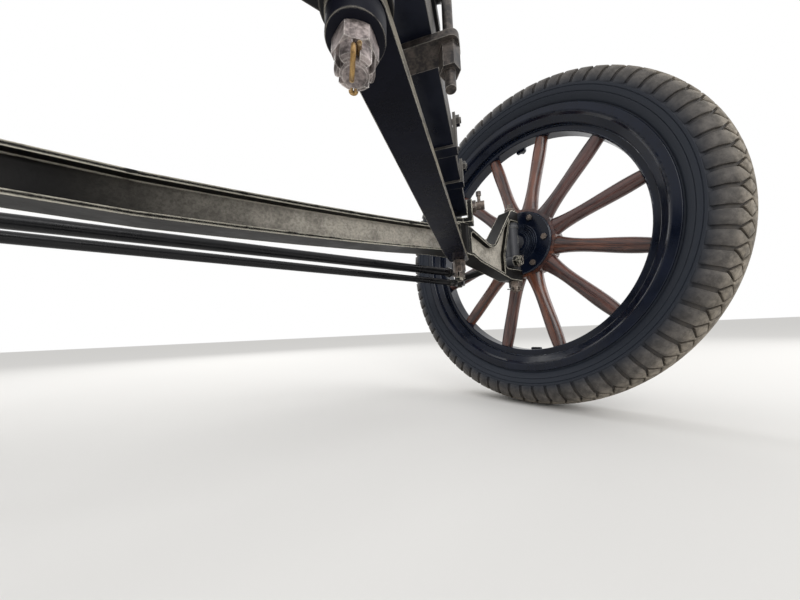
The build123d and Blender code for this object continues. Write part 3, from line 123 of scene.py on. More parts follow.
class Canvas:
    """Adds nodes to one tree and links them, so that a material reads as a list of steps."""

    def __init__(self, tree: bpy.types.NodeTree) -> None:
        """Starts with an empty tree.

        Args:
            tree: tree to fill.
        """
        self.tree = tree
        tree.nodes.clear()

    def plug(self, socket: bpy.types.NodeSocket, value: object) -> None:
        """Links a socket to another, or sets its value.

        Args:
            socket: input to fill.
            value: an output socket, a node (its first output), or a plain value.
        """
        if isinstance(value, bpy.types.Node):
            value = value.outputs[0]
        if isinstance(value, bpy.types.NodeSocket):
            self.tree.links.new(value, socket)
        elif isinstance(value, tuple) and socket.type == "RGBA":
            socket.default_value = (*value, 1.0)
        else:
            socket.default_value = value

    def add(self, kind: str, *values: object, **named: object) -> bpy.types.Node:
        """Adds a node.

        Args:
            kind: node type, with or without its "ShaderNode" prefix.
            values: values or sockets for the first inputs, in order.
            named: properties of the node, in lower case, and inputs by name, with _ for a space.

        Returns:
            The new node.
        """
        full = kind.startswith(("Node", "GeometryNode", "FunctionNode"))
        node = self.tree.nodes.new(kind if full else f"ShaderNode{kind}")
        for name in filter(str.islower, named):
            setattr(node, name, named[name])
        for socket, value in zip(node.inputs, values):
            self.plug(socket, value)
        for name, value in named.items():
            if not name.islower():
                self.plug(node.inputs[name.replace("_", " ")], value)
        return node

    def group(self, shared: "SharedTree", **inputs: object) -> bpy.types.Node:
        """Adds a shared group with its own inputs."""
        return self.add("Group", node_tree=shared.tree(), **inputs)

    def calc(self, operation: str, *values: object, clamp: bool = False) -> bpy.types.Node:
        """Adds a Math node on one to three values."""
        return self.add("Math", *values, operation=operation, use_clamp=clamp)

    def times(self, *values: object) -> bpy.types.Node:
        """Multiplies values, from left to right."""
        return reduce(lambda product, value: self.calc("MULTIPLY", product, value), values)

    def inverted(self, value: object) -> bpy.types.Node:
        """Takes a value from 1."""
        return self.calc("SUBTRACT", 1.0, value)

    def mixed(self, kind: str, *values: object) -> bpy.types.NodeSocket:
        """Adds a Mix node.

        Args:
            kind: its data type.
            values: the factor, what a factor of 0 gives and what 1 gives.

        Returns:
            The result's socket.
        """
        node = self.add("Mix", data_type=kind)
        *inputs, result = MIX_SOCKETS[kind]
        for number, value in zip(inputs, values):
            self.plug(node.inputs[number], value)
        return node.outputs[result]

    def blend(self, amount: object, low: object, high: object) -> bpy.types.NodeSocket:
        """Mixes two colours."""
        return self.mixed("RGBA", amount, low, high)

    def mix(self, amount: object, low: object, high: object) -> bpy.types.NodeSocket:
        """Mixes two numbers."""
        return self.mixed("FLOAT", amount, low, high)

    def ramp(self, value: object, low: float, high: float) -> bpy.types.NodeSocket:
        """Maps low to high onto 0 to 1 with soft ends."""
        return self.add("MapRange", value, low, high, interpolation_type="SMOOTHSTEP").outputs[0]

    def noise(self, place: object, pattern: Pattern) -> bpy.types.NodeSocket:
        """Adds a pattern's noise."""
        return self.add("TexNoise", Vector=place, Scale=pattern.scale, Detail=pattern.detail,
                        Roughness=pattern.rough).outputs[0]

    def patches(self, place: object, pattern: Pattern) -> bpy.types.NodeSocket:
        """Adds a pattern's noise, with its span spread over 0 to 1."""
        return self.ramp(self.noise(place, pattern), *pattern.span)


@dataclass(frozen=True)
class SharedTree:
    """Base of the node groups: a tree with named sockets, built once at its first use."""

    name: str
    inputs: Sockets
    outputs: Sockets
    kind: str = "ShaderNodeTree"

    def tree(self) -> bpy.types.NodeTree:
        """Makes the tree at the first call.

        Returns:
            The tree.
        """
        found = bpy.data.node_groups.get(self.name)
        if found:
            return found
        tree = bpy.data.node_groups.new(self.name, self.kind)
        for way, sockets in (("INPUT", self.inputs), ("OUTPUT", self.outputs)):
            for label, kind in sockets:
                tree.interface.new_socket(label, in_out=way, socket_type=f"NodeSocket{kind}")
        canvas = Canvas(tree)
        given = {socket.name: socket for socket in canvas.add("NodeGroupInput").outputs}
        canvas.add("NodeGroupOutput", *self.steps(canvas, given))
        return tree

    def steps(self, canvas: Canvas, given: dict[str, bpy.types.NodeSocket]) -> Sequence[object]:
        """Adds the tree's own nodes.

        Args:
            canvas: canvas on the tree.
            given: its inputs by name.

        Returns:
            A node or socket for each output, in order.
        """
        raise NotImplementedError


@dataclass(frozen=True)
class EdgeWearAndHighlight(SharedTree):
    """Mask of convex edges, broken up by noise, for worn edges and for painted highlights along edges."""

    name: str = "Edge wear and highlight"
    inputs: Sockets = (("Place", "Vector"), ("Width", "Float"), ("Amount", "Float"))
    outputs: Sockets = (("Mask", "Float"),)
    samples: int = 4
    rubbed: Pattern = Pattern(45.0, 5.0, 0.6, (0.25, 0.6))
    turn: Span = (0.01, 0.16)            # how far a normal turns from clean to worn

    def steps(self, canvas: Canvas, given: dict[str, bpy.types.NodeSocket]) -> Sequence[object]:
        """Adds the tree's own nodes, as SharedTree.steps says."""
        normal = canvas.add("NewGeometry").outputs["Normal"]
        rounded = canvas.add("Bevel", Radius=given["Width"], samples=self.samples)
        facing = canvas.add("VectorMath", rounded, normal, operation="DOT_PRODUCT")
        worn = canvas.times(canvas.inverted(facing.outputs["Value"]),
                            canvas.patches(given["Place"], self.rubbed))
        return [canvas.calc("MULTIPLY", canvas.ramp(worn, *self.turn), given["Amount"],
                            clamp=True)]


@dataclass(frozen=True)
class RoadDust(SharedTree):
    """Mask of dried road dust in patches, thicker on faces that look up, and its grit."""

    name: str = "Road dust"
    inputs: Sockets = (("Place", "Vector"), ("Facing", "Vector"), ("Amount", "Float"),
                       ("Lie", "Float"))
    outputs: Sockets = (("Mask", "Float"), ("Grit", "Float"))
    drifts: Pattern = Pattern(9.0, 5.0, 0.6)
    grit: Pattern = Pattern(160.0, 6.0, 0.7)
    drift_share: float = 0.75
    grit_share: float = 0.35
    thinnest: float = 0.55
    upward: Span = (0.0, 0.9)
    cover: Span = (0.35, 0.85)

    def steps(self, canvas: Canvas, given: dict[str, bpy.types.NodeSocket]) -> Sequence[object]:
        """Adds the tree's own nodes, as SharedTree.steps says."""
        grit = canvas.noise(given["Place"], self.grit)
        thick = canvas.calc(
            "ADD", canvas.times(canvas.noise(given["Place"], self.drifts), self.drift_share),
            canvas.times(grit, self.grit_share))
        rise = canvas.add("SeparateXYZ", given["Facing"]).outputs["Z"]
        lying = canvas.times(canvas.ramp(rise, *self.upward), given["Lie"])
        settled = canvas.calc("ADD", canvas.calc("SUBTRACT", thick, self.thinnest), lying)
        lifted = canvas.calc("ADD", settled, given["Amount"])
        return canvas.ramp(lifted, *self.cover), grit


@dataclass(frozen=True)
class Rust(SharedTree):
    """Blotches of fresh rust on old, and their pits."""

    name: str = "Rust"
    inputs: Sockets = (("Place", "Vector"), ("Fresh", "Color"), ("Old", "Color"))
    outputs: Sockets = (("Colour", "Color"), ("Pits", "Float"))
    blotches: Pattern = Pattern(70.0, 6.0, 0.65)
    pits: Pattern = Pattern(420.0, 4.0, 0.6)
    base: float = 0.5
    cover: Span = (0.35, 0.68)

    def steps(self, canvas: Canvas, given: dict[str, bpy.types.NodeSocket]) -> Sequence[object]:
        """Adds the tree's own nodes, as SharedTree.steps says."""
        pits = canvas.noise(given["Place"], self.pits)
        amount = canvas.times(canvas.noise(given["Place"], self.blotches),
                              canvas.calc("ADD", pits, self.base))
        return canvas.blend(canvas.ramp(amount, *self.cover), given["Old"], given["Fresh"]), pits


@dataclass(frozen=True)
class WheelCoordinates:
    """Sockets of a place in one wheel's own terms."""

    offset: bpy.types.NodeSocket
    radius: bpy.types.NodeSocket
    angle: bpy.types.Node


@dataclass(frozen=True)
class WheelAxis:
    """Place of one wheel: its centre and the turn from plain axes to the wheel's own."""

    centre: Vector
    turn: Matrix

    @classmethod
    def of(cls, hand: Hand) -> "WheelAxis":
        """Reads a wheel's axis from the joint that spins it.

        Args:
            hand: which wheel.

        Returns:
            The wheel's axis, with local x outboard along it.
        """
        joint = next(j for j in frame["joints"] if j["name"] == f"spin_{hand.value}")
        axis, rear = Vector(joint["axis"]).normalized(), Vector((0, 1, 0))
        return cls(Vector(joint["pos_m"]), Matrix((axis, rear, axis.cross(rear))).transposed())

    def place(self) -> Matrix:
        """Returns the matrix from the wheel's own axes to the frame."""
        return Matrix.Translation(self.centre) @ self.turn.to_4x4()

    def coordinates(self, canvas: Canvas, place: object) -> WheelCoordinates:
        """Adds nodes that turn Object coordinates into this wheel's own.

        Args:
            canvas: canvas on the material's tree.
            place: Object coordinates.

        Returns:
            The sockets of the wheel's coordinates.
        """
        local = canvas.add("Mapping", place, vector_type="TEXTURE", Location=self.centre,
                           Rotation=self.turn.to_euler())
        offset, behind, above = canvas.add("SeparateXYZ", local).outputs
        flat = canvas.add("CombineXYZ", 0.0, behind, above)
        radius = canvas.add("VectorMath", flat, operation="LENGTH").outputs["Value"]
        return WheelCoordinates(offset, radius, canvas.calc("ARCTAN2", above, behind))


# Finishes


@dataclass(frozen=True)
class Finish:
    """Base of every finish: a named material, made once from its own values."""

    name: str

    def material(self) -> bpy.types.Material:
        """Makes the material at the first call.

        Returns:
            The material.
        """
        found = bpy.data.materials.get(self.name)
        if found:
            return found
        made = bpy.data.materials.new(self.name)
        made.use_nodes = True
        canvas = Canvas(made.node_tree)
        canvas.add("OutputMaterial", canvas.add("BsdfPrincipled", **self.paint(canvas)))
        return made

    def paint(self, canvas: Canvas) -> dict[str, object]:
        """Adds the nodes that the shader reads.

        Args:
            canvas: canvas on the material's tree.

        Returns:
            The shader's inputs by name, with _ for a space.
        """
        raise NotImplementedError

    @staticmethod
    def relief(canvas: Canvas, height: object, depth: float) -> bpy.types.NodeSocket:
        """Adds a bump from a height of 0 to 1 that is depth metres deep."""
        return canvas.add("Bump", Distance=depth, Height=height).outputs["Normal"]


@dataclass(frozen=True)
class OldPaint(Finish):
    """Old black paint on forged or rolled steel, with road dust, and pale edges that are partly bare steel and
    partly a painted highlight.
    """

    colour: Colour = (0.009, 0.009, 0.011)
    # pale colour of the edges: bare steel, and partly a painted highlight along them
    bare: Colour = (0.24, 0.225, 0.20)
    dirt: Colour = (0.27, 0.235, 0.18)
    gloss: float = 0.35                  # roughness of the smoothest patches
    dulling: float = 0.12                # and what the dullest add to it
    sheen: float = 0.3
    tones: Pattern = Pattern(22.0, span=(0.3, 0.7))
    darkest: float = 0.6                 # dark patches, as a share of the colour
    dust: float = 0.2
    lie: float = 0.25                    # more dust where a face looks up
    dust_roughness: float = 0.9
    wear: float = 0.6
    wear_width: float = 0.002
    wear_metal: float = 0.5
    lumps: float = 0.00025
    lump_pattern: Pattern = Pattern(130.0, 5.0, 0.6)
    sides: float = 0.0                   # dust on faces that stand upright
    side_patches: Pattern = Pattern(34.0, span=(0.25, 0.6))
    level: Span = (0.3, 0.8)             # rise of a normal, from an upright face to a level one

    def paint(self, canvas: Canvas) -> dict[str, object]:
        """Adds the nodes that the shader reads, as Finish.paint says."""
        coords = canvas.add("TexCoord")
        place = coords.outputs["Object"]
        edge = canvas.group(EdgeWearAndHighlight(), Place=place, Width=self.wear_width, Amount=self.wear)
        dust = self.dusted(canvas, coords)
        tone = canvas.patches(place, self.tones)
        dark = tuple(part * self.darkest for part in self.colour)
        # Edges take the pale colour, which stands for bare steel and partly for a painted highlight.
        worn = canvas.blend(edge, canvas.blend(tone, dark, self.colour), self.bare)
        rubbed = canvas.mix(tone, self.gloss, self.gloss + self.dulling)
        return dict(
            Base_Color=canvas.blend(dust, worn, self.dirt),
            Roughness=canvas.mix(dust, rubbed, self.dust_roughness),
            Metallic=canvas.times(edge, self.wear_metal),
            Specular_IOR_Level=self.sheen,
            Normal=self.relief(canvas, canvas.noise(place, self.lump_pattern), self.lumps),
        )

    def dusted(self, canvas: Canvas, coords: bpy.types.Node) -> bpy.types.NodeSocket:
        """Adds the mask of dust.

        Args:
            canvas: canvas on the material's tree.
            coords: its texture coordinates.

        Returns:
            The mask's socket.
        """
        place, normal = coords.outputs["Object"], coords.outputs["Normal"]
        thin = canvas.group(RoadDust(), Place=place, Facing=normal, Amount=self.dust,
                            Lie=self.lie).outputs["Mask"]
        if not self.sides:
            return thin
        rise = canvas.calc("ABSOLUTE", canvas.add("SeparateXYZ", normal).outputs["Z"])
        cover = canvas.times(canvas.patches(place, self.side_patches), self.sides,
                             canvas.inverted(canvas.ramp(rise, *self.level)))
        return canvas.calc("MAXIMUM", thin, cover).outputs[0]


@dataclass(frozen=True)
class AxlePaint(OldPaint):
    """Old paint of the axle, whose sunk web holds a coat of pale dried mud."""

    flange: Span = (0.010, 0.0145)       # from the axle's line, where the mud thins out
    cleanest: float = -0.07              # place along the beam with the least mud
    spread: float = 0.34                 # distance from there to the full coat
    upright: Span = (0.5, 0.85)          # how much a face looks forwards or back
    grains: Pattern = Pattern(320.0, 4.0, 0.7, (0.35, 0.62))
    grain_cover: Span = (0.62, 1.0)
    blots: Pattern = Pattern(34.0, 6.0, 0.65, (0.3, 0.6))
    blot_cover: Span = (0.6, 1.0)

    def dusted(self, canvas: Canvas, coords: bpy.types.Node) -> bpy.types.NodeSocket:
        """Adds the mask of dust, as OldPaint.dusted does."""
        thin = super().dusted(canvas, coords)
        place = coords.outputs["Object"]
        split = canvas.add("SeparateXYZ", place).outputs
        away = canvas.calc("ABSOLUTE", canvas.calc("SUBTRACT", split["Y"], AXLE_BEHIND))
        sunk = canvas.inverted(canvas.ramp(away, *self.flange))
        facing = canvas.add("SeparateXYZ", coords.outputs["Normal"]).outputs["Y"]
        upright = canvas.ramp(canvas.calc("ABSOLUTE", facing), *self.upright)
        along = canvas.calc("SUBTRACT", split["X"], self.cleanest)
        outward = canvas.ramp(canvas.calc("ABSOLUTE", along), 0.0, self.spread)
        grains = canvas.mix(canvas.patches(place, self.grains), *self.grain_cover)
        blots = canvas.mix(canvas.patches(place, self.blots), *self.blot_cover)
        cover = canvas.times(sunk, upright, canvas.times(outward, grains, blots))
        return canvas.calc("MAXIMUM", thin, cover).outputs[0]


@dataclass(frozen=True)
class RustySteel(Finish):
    """Unpainted nuts and bolts, browned by rust and oil."""

    fresh: Colour = (0.21, 0.165, 0.135)
    old: Colour = (0.040, 0.034, 0.033)
    bright: Colour = (0.62, 0.58, 0.52)
    wear: float = 0.7
    wear_width: float = 0.0012
    roughness: Span = (0.34, 0.62)       # as the pits vary
    edge_roughness: float = 0.3
    metal: Span = (0.55, 0.95)           # from rust to a bare edge
    pit_depth: float = 0.0004

    def paint(self, canvas: Canvas) -> dict[str, object]:
        """Adds the nodes that the shader reads, as Finish.paint says."""
        place = canvas.add("TexCoord").outputs["Object"]
        rust = canvas.group(Rust(), Place=place, Fresh=self.fresh, Old=self.old).outputs
        edge = canvas.group(EdgeWearAndHighlight(), Place=place, Width=self.wear_width, Amount=self.wear)
        rough = canvas.mix(rust["Pits"], *self.roughness)
        return dict(
            Base_Color=canvas.blend(edge, rust["Colour"], self.bright),
            Roughness=canvas.mix(edge, rough, self.edge_roughness),
            Metallic=canvas.mix(edge, *self.metal),
            Normal=self.relief(canvas, rust["Pits"], self.pit_depth),
        )


@dataclass(frozen=True)
class Rubber(Finish):
    """Weathered rubber of a tyre's casing, slate on the sidewalls."""

    hand: Hand = Hand.LEFT
    slate: Colour = (0.014, 0.018, 0.027)
    shoulder: Colour = (0.095, 0.086, 0.078)
    mud: Colour = (0.105, 0.088, 0.068)
    wall_span: Span = (0.322, 0.352)     # radii from the sidewall to the shoulder
    crown_span: Span = (0.352, 0.3685)   # and from there to the crown
    dust: float = 0.16
    wall_dust: float = 0.2
    around: float = 0.02                 # how little the fine rings change round the tyre
    rings: Pattern = Pattern(260.0, 3.0, 0.6)
    roughness: Span = (0.6, 0.92)        # from shoulder to crown
    sheen: float = 0.28
    grit_relief: float = 0.6
    ring_relief: float = 0.5
    depth: float = 0.0003

    def paint(self, canvas: Canvas) -> dict[str, object]:
        """Adds the nodes that the shader reads, as Finish.paint says."""
        coords = canvas.add("TexCoord")
        place = coords.outputs["Object"]
        wheel = WheelAxis.of(self.hand).coordinates(canvas, place)
        dirt = canvas.group(RoadDust(), Place=place, Facing=coords.outputs["Normal"],
                            Amount=self.dust, Lie=0.0)
        rings = canvas.add("CombineXYZ", wheel.offset, wheel.radius,
                           canvas.times(wheel.angle, self.around))
        side = canvas.ramp(wheel.radius, *self.wall_span)
        rise = canvas.ramp(wheel.radius, *self.crown_span)
        wall = canvas.blend(canvas.times(dirt.outputs["Mask"], self.wall_dust), self.slate,
                            self.shoulder)
        height = canvas.calc("ADD", canvas.times(dirt.outputs["Grit"], self.grit_relief),
                             canvas.times(canvas.noise(rings, self.rings), self.ring_relief))
        return dict(
            Base_Color=canvas.blend(side, wall, self.top(canvas, place, dirt, side, rise)),
            Roughness=canvas.mix(rise, *self.roughness),
            Specular_IOR_Level=self.sheen,
            Normal=self.relief(canvas, height, self.depth),
        )

    def top(self, canvas: Canvas, place: object, dirt: bpy.types.Node, side: object,
            rise: object) -> bpy.types.NodeSocket:
        """Adds the colour past the shoulder.

        Args:
            canvas: canvas on the material's tree.
            place: Object coordinates.
            dirt: group of the road dust.
            side: mask that grows from the sidewall to the shoulder.
            rise: mask that grows from the shoulder to the crown.

        Returns:
            The colour's socket.
        """
        return canvas.blend(dirt.outputs["Grit"], self.slate, self.mud)


@dataclass(frozen=True)
class TreadRubber(Rubber):
    """Rubber of the tread's blocks, brown with dried mud and a little different on each."""

    crown: Colour = (0.24, 0.21, 0.17)
    depth: float = 0.0006
    mottle: Pattern = Pattern(75.0, 6.0, 0.72, (0.36, 0.64))
    mottle_tones: Span = (0.66, 1.28)
    grit_tones: Span = (0.5, 1.3)
    pitch_tones: Span = (0.78, 1.1)
    wear: float = 0.6
    wear_width: float = 0.0012
    tread_dust: float = 0.7

    def top(self, canvas: Canvas, place: object, dirt: bpy.types.Node, side: object,
            rise: object) -> bpy.types.NodeSocket:
        """Adds the colour past the shoulder, as Rubber.top does."""
        shade = canvas.add("Attribute", attribute_name="shade").outputs["Fac"]
        tone = canvas.times(
            canvas.mix(dirt.outputs["Grit"], *self.grit_tones),
            canvas.mix(canvas.patches(place, self.mottle), *self.mottle_tones),
            canvas.mix(shade, *self.pitch_tones))
        toned = canvas.add("VectorMath", canvas.blend(rise, self.shoulder, self.crown),
                           Scale=tone, operation="SCALE")
        edge = canvas.group(EdgeWearAndHighlight(), Place=place, Width=self.wear_width, Amount=self.wear)
        edged = canvas.blend(canvas.times(edge, side), toned, self.crown)
        muddy = canvas.times(dirt.outputs["Mask"], self.tread_dust)
        return canvas.blend(muddy, edged, self.mud)


@dataclass(frozen=True)
class VarnishedSpokes(Finish):
    """Varnished hickory whose grain follows each spoke out from the wheel's centre."""

    hand: Hand = Hand.LEFT
    spokes: int = 12
    pale: Colour = (0.095, 0.044, 0.042)
    warm: Colour = (0.19, 0.066, 0.034)
    dark: Colour = (0.016, 0.007, 0.008)
    stretch: float = 0.05                # change of the grain along a spoke against across it
    apart: float = 3.7                   # place of one spoke's grain from the next's
    fibres: Pattern = Pattern(520.0, 5.0, 0.65)
    bands: Pattern = Pattern(95.0, 3.0, 0.5)
    share: float = 0.5                   # of the fibres and of the bands in the grain
    grain: Span = (0.38, 0.62)           # from dark grain to clear wood
    tints: Pattern = Pattern(0.63, 1.0, span=(0.35, 0.65))    # one value for each spoke
    grime: Pattern = Pattern(14.0, span=(0.45, 0.75))
    grime_cover: float = 0.55
    roughness: Span = (0.32, 0.5)        # from clean to grimy
    varnish: float = 0.35
    varnish_roughness: float = 0.2
    depth: float = 0.0002

    def paint(self, canvas: Canvas) -> dict[str, object]:
        """Adds the nodes that the shader reads, as Finish.paint says."""
        place = canvas.add("TexCoord").outputs["Object"]
        wheel = WheelAxis.of(self.hand).coordinates(canvas, place)
        step = math.tau / self.spokes
        sector = canvas.calc("DIVIDE", wheel.angle, step)
        number = canvas.calc("FLOOR", sector)
        fold = canvas.calc("SUBTRACT", canvas.calc("SUBTRACT", sector, number), 0.5)
        along = canvas.calc("ADD", canvas.times(wheel.radius, self.stretch),
                            canvas.times(number, self.apart))
        grain_place = canvas.add("CombineXYZ", canvas.times(fold, step, wheel.radius),
                                 wheel.offset, along)
        fibres = canvas.noise(grain_place, self.fibres)
        bands = canvas.noise(grain_place, self.bands)
        grain = canvas.calc("ADD", canvas.times(fibres, self.share),
                            canvas.times(bands, self.share))
        tint = canvas.patches(canvas.add("CombineXYZ", number, 0.0, 0.0), self.tints)
        wood = canvas.blend(canvas.ramp(grain, *self.grain), self.dark,
                            canvas.blend(tint, self.pale, self.warm))
        grime = canvas.patches(place, self.grime)
        return dict(
            Base_Color=canvas.blend(canvas.times(grime, self.grime_cover), wood, self.dark),
            Roughness=canvas.mix(grime, *self.roughness),
            Coat_Weight=self.varnish,
            Coat_Roughness=self.varnish_roughness,
            Normal=self.relief(canvas, fibres, self.depth),
        )


@dataclass(frozen=True)
class PaleFloor(Finish):
    """Dull pale floor."""

    colour: Colour = (0.76, 0.75, 0.73)
    roughness: float = 0.9

    def paint(self, canvas: Canvas) -> dict[str, object]:
        """Gives the shader's inputs, as Finish.paint says."""
        return dict(Base_Color=self.colour, Roughness=self.roughness, Specular_IOR_Level=0.0)


# The axle's pale edges are partly bare steel and partly a painted highlight along the flanges.
AXLE_BLACK = AxlePaint("Dusty axle black", colour=(0.007, 0.0065, 0.006), dust=0.10, lie=0.15,
                       sheen=0.1, wear=1.0, wear_width=0.0036, bare=(0.72, 0.68, 0.57),
                       dirt=(0.56, 0.52, 0.45))
KNUCKLE_GREY = OldPaint("Oily knuckle grey", colour=(0.060, 0.062, 0.070), dust=0.12, lie=0.1,
                        gloss=0.4, sheen=0.4, wear=0.7, wear_width=0.0018,
                        bare=(0.50, 0.49, 0.46), lumps=0.0004, dirt=(0.30, 0.28, 0.25))
CHASSIS_BLACK = OldPaint("Chassis black", dust=0.08, gloss=0.3, sheen=0.15)
# The strap's pale edges are partly bare steel and partly a painted highlight along them.
STRAP_BLACK = OldPaint("Gloss strap black", colour=(0.0035, 0.0042, 0.010), dust=0.0,
                       gloss=0.22, sheen=0.08, wear=1.0, wear_width=0.0016,
                       bare=(0.55, 0.52, 0.45), sides=0.6, dirt=(0.30, 0.27, 0.21))
# The leaves' pale edges are partly bare steel and partly a painted highlight.
SPRING_BLACK = OldPaint("Spring black", colour=(0.005, 0.007, 0.016), dust=0.03, gloss=0.26,
                        wear=0.9, wear_width=0.0014, bare=(0.45, 0.43, 0.39), sides=0.4,
                        dirt=(0.20, 0.18, 0.15))
ROD_BLACK = OldPaint("Rod black", colour=(0.007, 0.0072, 0.009), dust=0.08, gloss=0.24)
# The rim's pale bluish edges are partly worn enamel and partly a painted bluish highlight.
WHEEL_ENAMEL = OldPaint("Blue black enamel", colour=(0.0045, 0.0075, 0.018), dust=0.0,
                        lie=0.0, gloss=0.12, wear=0.75, wear_width=0.0014, lumps=0.00003,
                        sheen=0.26, bare=(0.22, 0.25, 0.30))
COLLAR_BLACK = OldPaint("Collar black", colour=(0.006, 0.0065, 0.012), dust=0.0, gloss=0.4,
                        sheen=0.1, wear=1.0, wear_width=0.0012, bare=(0.62, 0.58, 0.50))
RUSTY = RustySteel("Weathered steel")
NUT_STEEL = RustySteel("Worn nut steel", fresh=(0.42, 0.36, 0.345), old=(0.085, 0.07, 0.068),
                       bright=(0.85, 0.80, 0.75))
CLAMP_STEEL = RustySteel("Oily clamp steel", fresh=(0.11, 0.092, 0.08),
                         old=(0.024, 0.022, 0.023))
BRASS = RustySteel("Dull brass", fresh=(0.42, 0.25, 0.08), old=(0.12, 0.065, 0.025),
                   bright=(0.85, 0.66, 0.38))

FINISH_OF_SLOT: dict[Slot, Finish] = {
    Slot.AXLE: AXLE_BLACK,
    Slot.CHASSIS: CHASSIS_BLACK,
    Slot.STRAP: STRAP_BLACK,
    Slot.SPRING: SPRING_BLACK,
    Slot.ROD: ROD_BLACK,
    Slot.WHEEL: WHEEL_ENAMEL,
    Slot.STEEL: RUSTY,
}


def dress_nodes() -> None:
    """Gives every CAD node the finish of its slot, or its own."""
    for part in frame["record"]["subparts"]:
        node, slot = part["node"], Slot(part["material_slot"])
        hand = Hand.RIGHT if node.endswith("right") else Hand.LEFT
        if slot is Slot.WOOD:
            finish = VarnishedSpokes(f"Varnished hickory {hand.value}", hand=hand)
        elif slot is Slot.TYRE:
            finish = Rubber(f"Sidewall rubber {hand.value}", hand=hand)
        elif node.startswith("spring_clamps"):
            finish = CLAMP_STEEL
        elif node.startswith("knuckle"):
            finish = KNUCKLE_GREY
        else:
            finish = FINISH_OF_SLOT[slot]
        mesh = frame["nodes"][node].data
        mesh.materials.clear()
        mesh.materials.append(finish.material())
        LOG.info("dressed %s with %s", node, finish.name)


# Shapes


def polar(radius: float, angle: float) -> Point:
    """Returns the point at a radius and an angle."""
    return radius * math.cos(angle), radius * math.sin(angle)


def eased(corner: Point, come: Point, go: Point, ease: float) -> list[Point]:
    """Takes the edge off a section's corner.

    Args:
        corner: the corner.
        come: direction in which the section reaches it.
        go: direction in which the section leaves it.
        ease: how far from the corner the rounding starts.

    Returns:
        The three points that stand for the corner.
    """
    (x, y), (a, b), (c, d), third = corner, come, go, ease / 3
    return [(x - a * ease, y - b * ease), (x + (c - a) * third, y + (d - b) * third),
            (x + c * ease, y + d * ease)]


def linked(name: str, data: bpy.types.ID) -> bpy.types.Object:
    """Makes an object of some data and adds it to the scene.

    Args:
        name: object's name.
        data: its mesh, curve, lamp or camera.

    Returns:
        The object.
    """
    made = bpy.data.objects.new(name, data)
    bpy.context.collection.objects.link(made)
    return made


def add_piece(name: str, mesh: bpy.types.Mesh, body: str,
              finish: Finish) -> bpy.types.Object:
    """Makes a finished mesh a piece that rides on a body.

    Args:
        name: piece's name.
        mesh: its mesh, in the frame's own place.
        body: body it rides on.
        finish: its finish.

    Returns:
        The piece.
    """
    if not mesh.materials:
        mesh.materials.append(finish.material())
    piece = linked(name, mesh)
    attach(piece, body)
    LOG.info("built %s: %d faces on %s", name, len(mesh.polygons), body)
    return piece


def finish_shape(mesh: bpy.types.Mesh, weld: float = WELD, sharp: float = 35.0) -> None:
    """Closes a shape's seams and poles, faces it outwards and smooths its curved faces.

    Args:
        mesh: the mesh to change.
        weld: points nearer than this are merged.
        sharp: edges sharper than this many degrees stay crisp.
    """
    shape = bmesh.new()
    shape.from_mesh(mesh)
    bmesh.ops.remove_doubles(shape, verts=shape.verts, dist=weld)
    bmesh.ops.recalc_face_normals(shape, faces=shape.faces)
    shape.to_mesh(mesh)
    shape.free()
    mesh.shade_smooth()
    mesh.set_sharp_from_angle(angle=math.radians(sharp))


def closed(name: str, points: Sequence[Vector], faces: Sequence[Sequence[int]]) -> bpy.types.Mesh:
    """Makes a finished mesh.

    Args:
        name: mesh's name.
        points: its points.
        faces: its faces, as numbers of points.

    Returns:
        The mesh.
    """
    mesh = bpy.data.meshes.new(name)
    mesh.from_pydata(points, [], faces)
    finish_shape(mesh)
    return mesh


def lathe(name: str, section: Sequence[Point], place: Matrix, segments: int) -> bpy.types.Mesh:
    """Turns a closed section about the local x axis.

    Args:
        name: mesh's name.
        section: its points, as distances along the axis and radii.
        place: matrix from local axes to the frame.
        segments: divisions around the axis.

    Returns:
        A closed mesh.
    """
    size = len(section)
    points, faces = [], []
    for ring in range(segments):
        angle = math.tau * ring / segments
        after = (ring + 1) % segments * size
        for step, (along, radius) in enumerate(section):
            points.append(place @ Vector((along, *polar(radius, angle))))
            follow = (step + 1) % size
            faces.append((ring * size + step, ring * size + follow, after + follow, after + step))
    return closed(name, points, faces)


def prism(name: str, outline: Sequence[Point], low: float, high: float,
          place: Matrix) -> bpy.types.Mesh:
    """Raises an outline along the local x axis.

    Args:
        name: mesh's name.
        outline: its points in local y and z.
        low: where it starts.
        high: where it ends.
        place: matrix from local axes to the frame.

    Returns:
        A closed mesh.
    """
    size = len(outline)
    points = [place @ Vector((along, *point)) for along in (low, high) for point in outline]
    faces = [tuple(range(size))[::-1], tuple(range(size, 2 * size))]
    faces += [(step, (step + 1) % size, (step + 1) % size + size, step + size)
              for step in range(size)]
    return closed(name, points, faces)


def joined(name: str, meshes: Sequence[bpy.types.Mesh]) -> bpy.types.Mesh:
    """Joins meshes into one.

    Args:
        name: name of the new mesh.
        meshes: meshes to join; they are removed.

    Returns:
        The joined mesh.
    """
    whole = bmesh.new()
    for mesh in meshes:
        whole.from_mesh(mesh)
        bpy.data.meshes.remove(mesh)
    made = bpy.data.meshes.new(name)
    whole.to_mesh(made)
    whole.free()
    return made


def evaluated(holder: bpy.types.Object, name: str) -> bpy.types.Mesh:
    """Takes the mesh that an object's modifiers or curve make, and removes the object.

    Args:
        holder: object whose data is made real.
        name: name of the new mesh.

    Returns:
        The plain mesh.
    """
    graph = bpy.context.evaluated_depsgraph_get()
    mesh = bpy.data.meshes.new_from_object(holder.evaluated_get(graph))
    mesh.name = name
    bpy.data.objects.remove(holder)
    return mesh


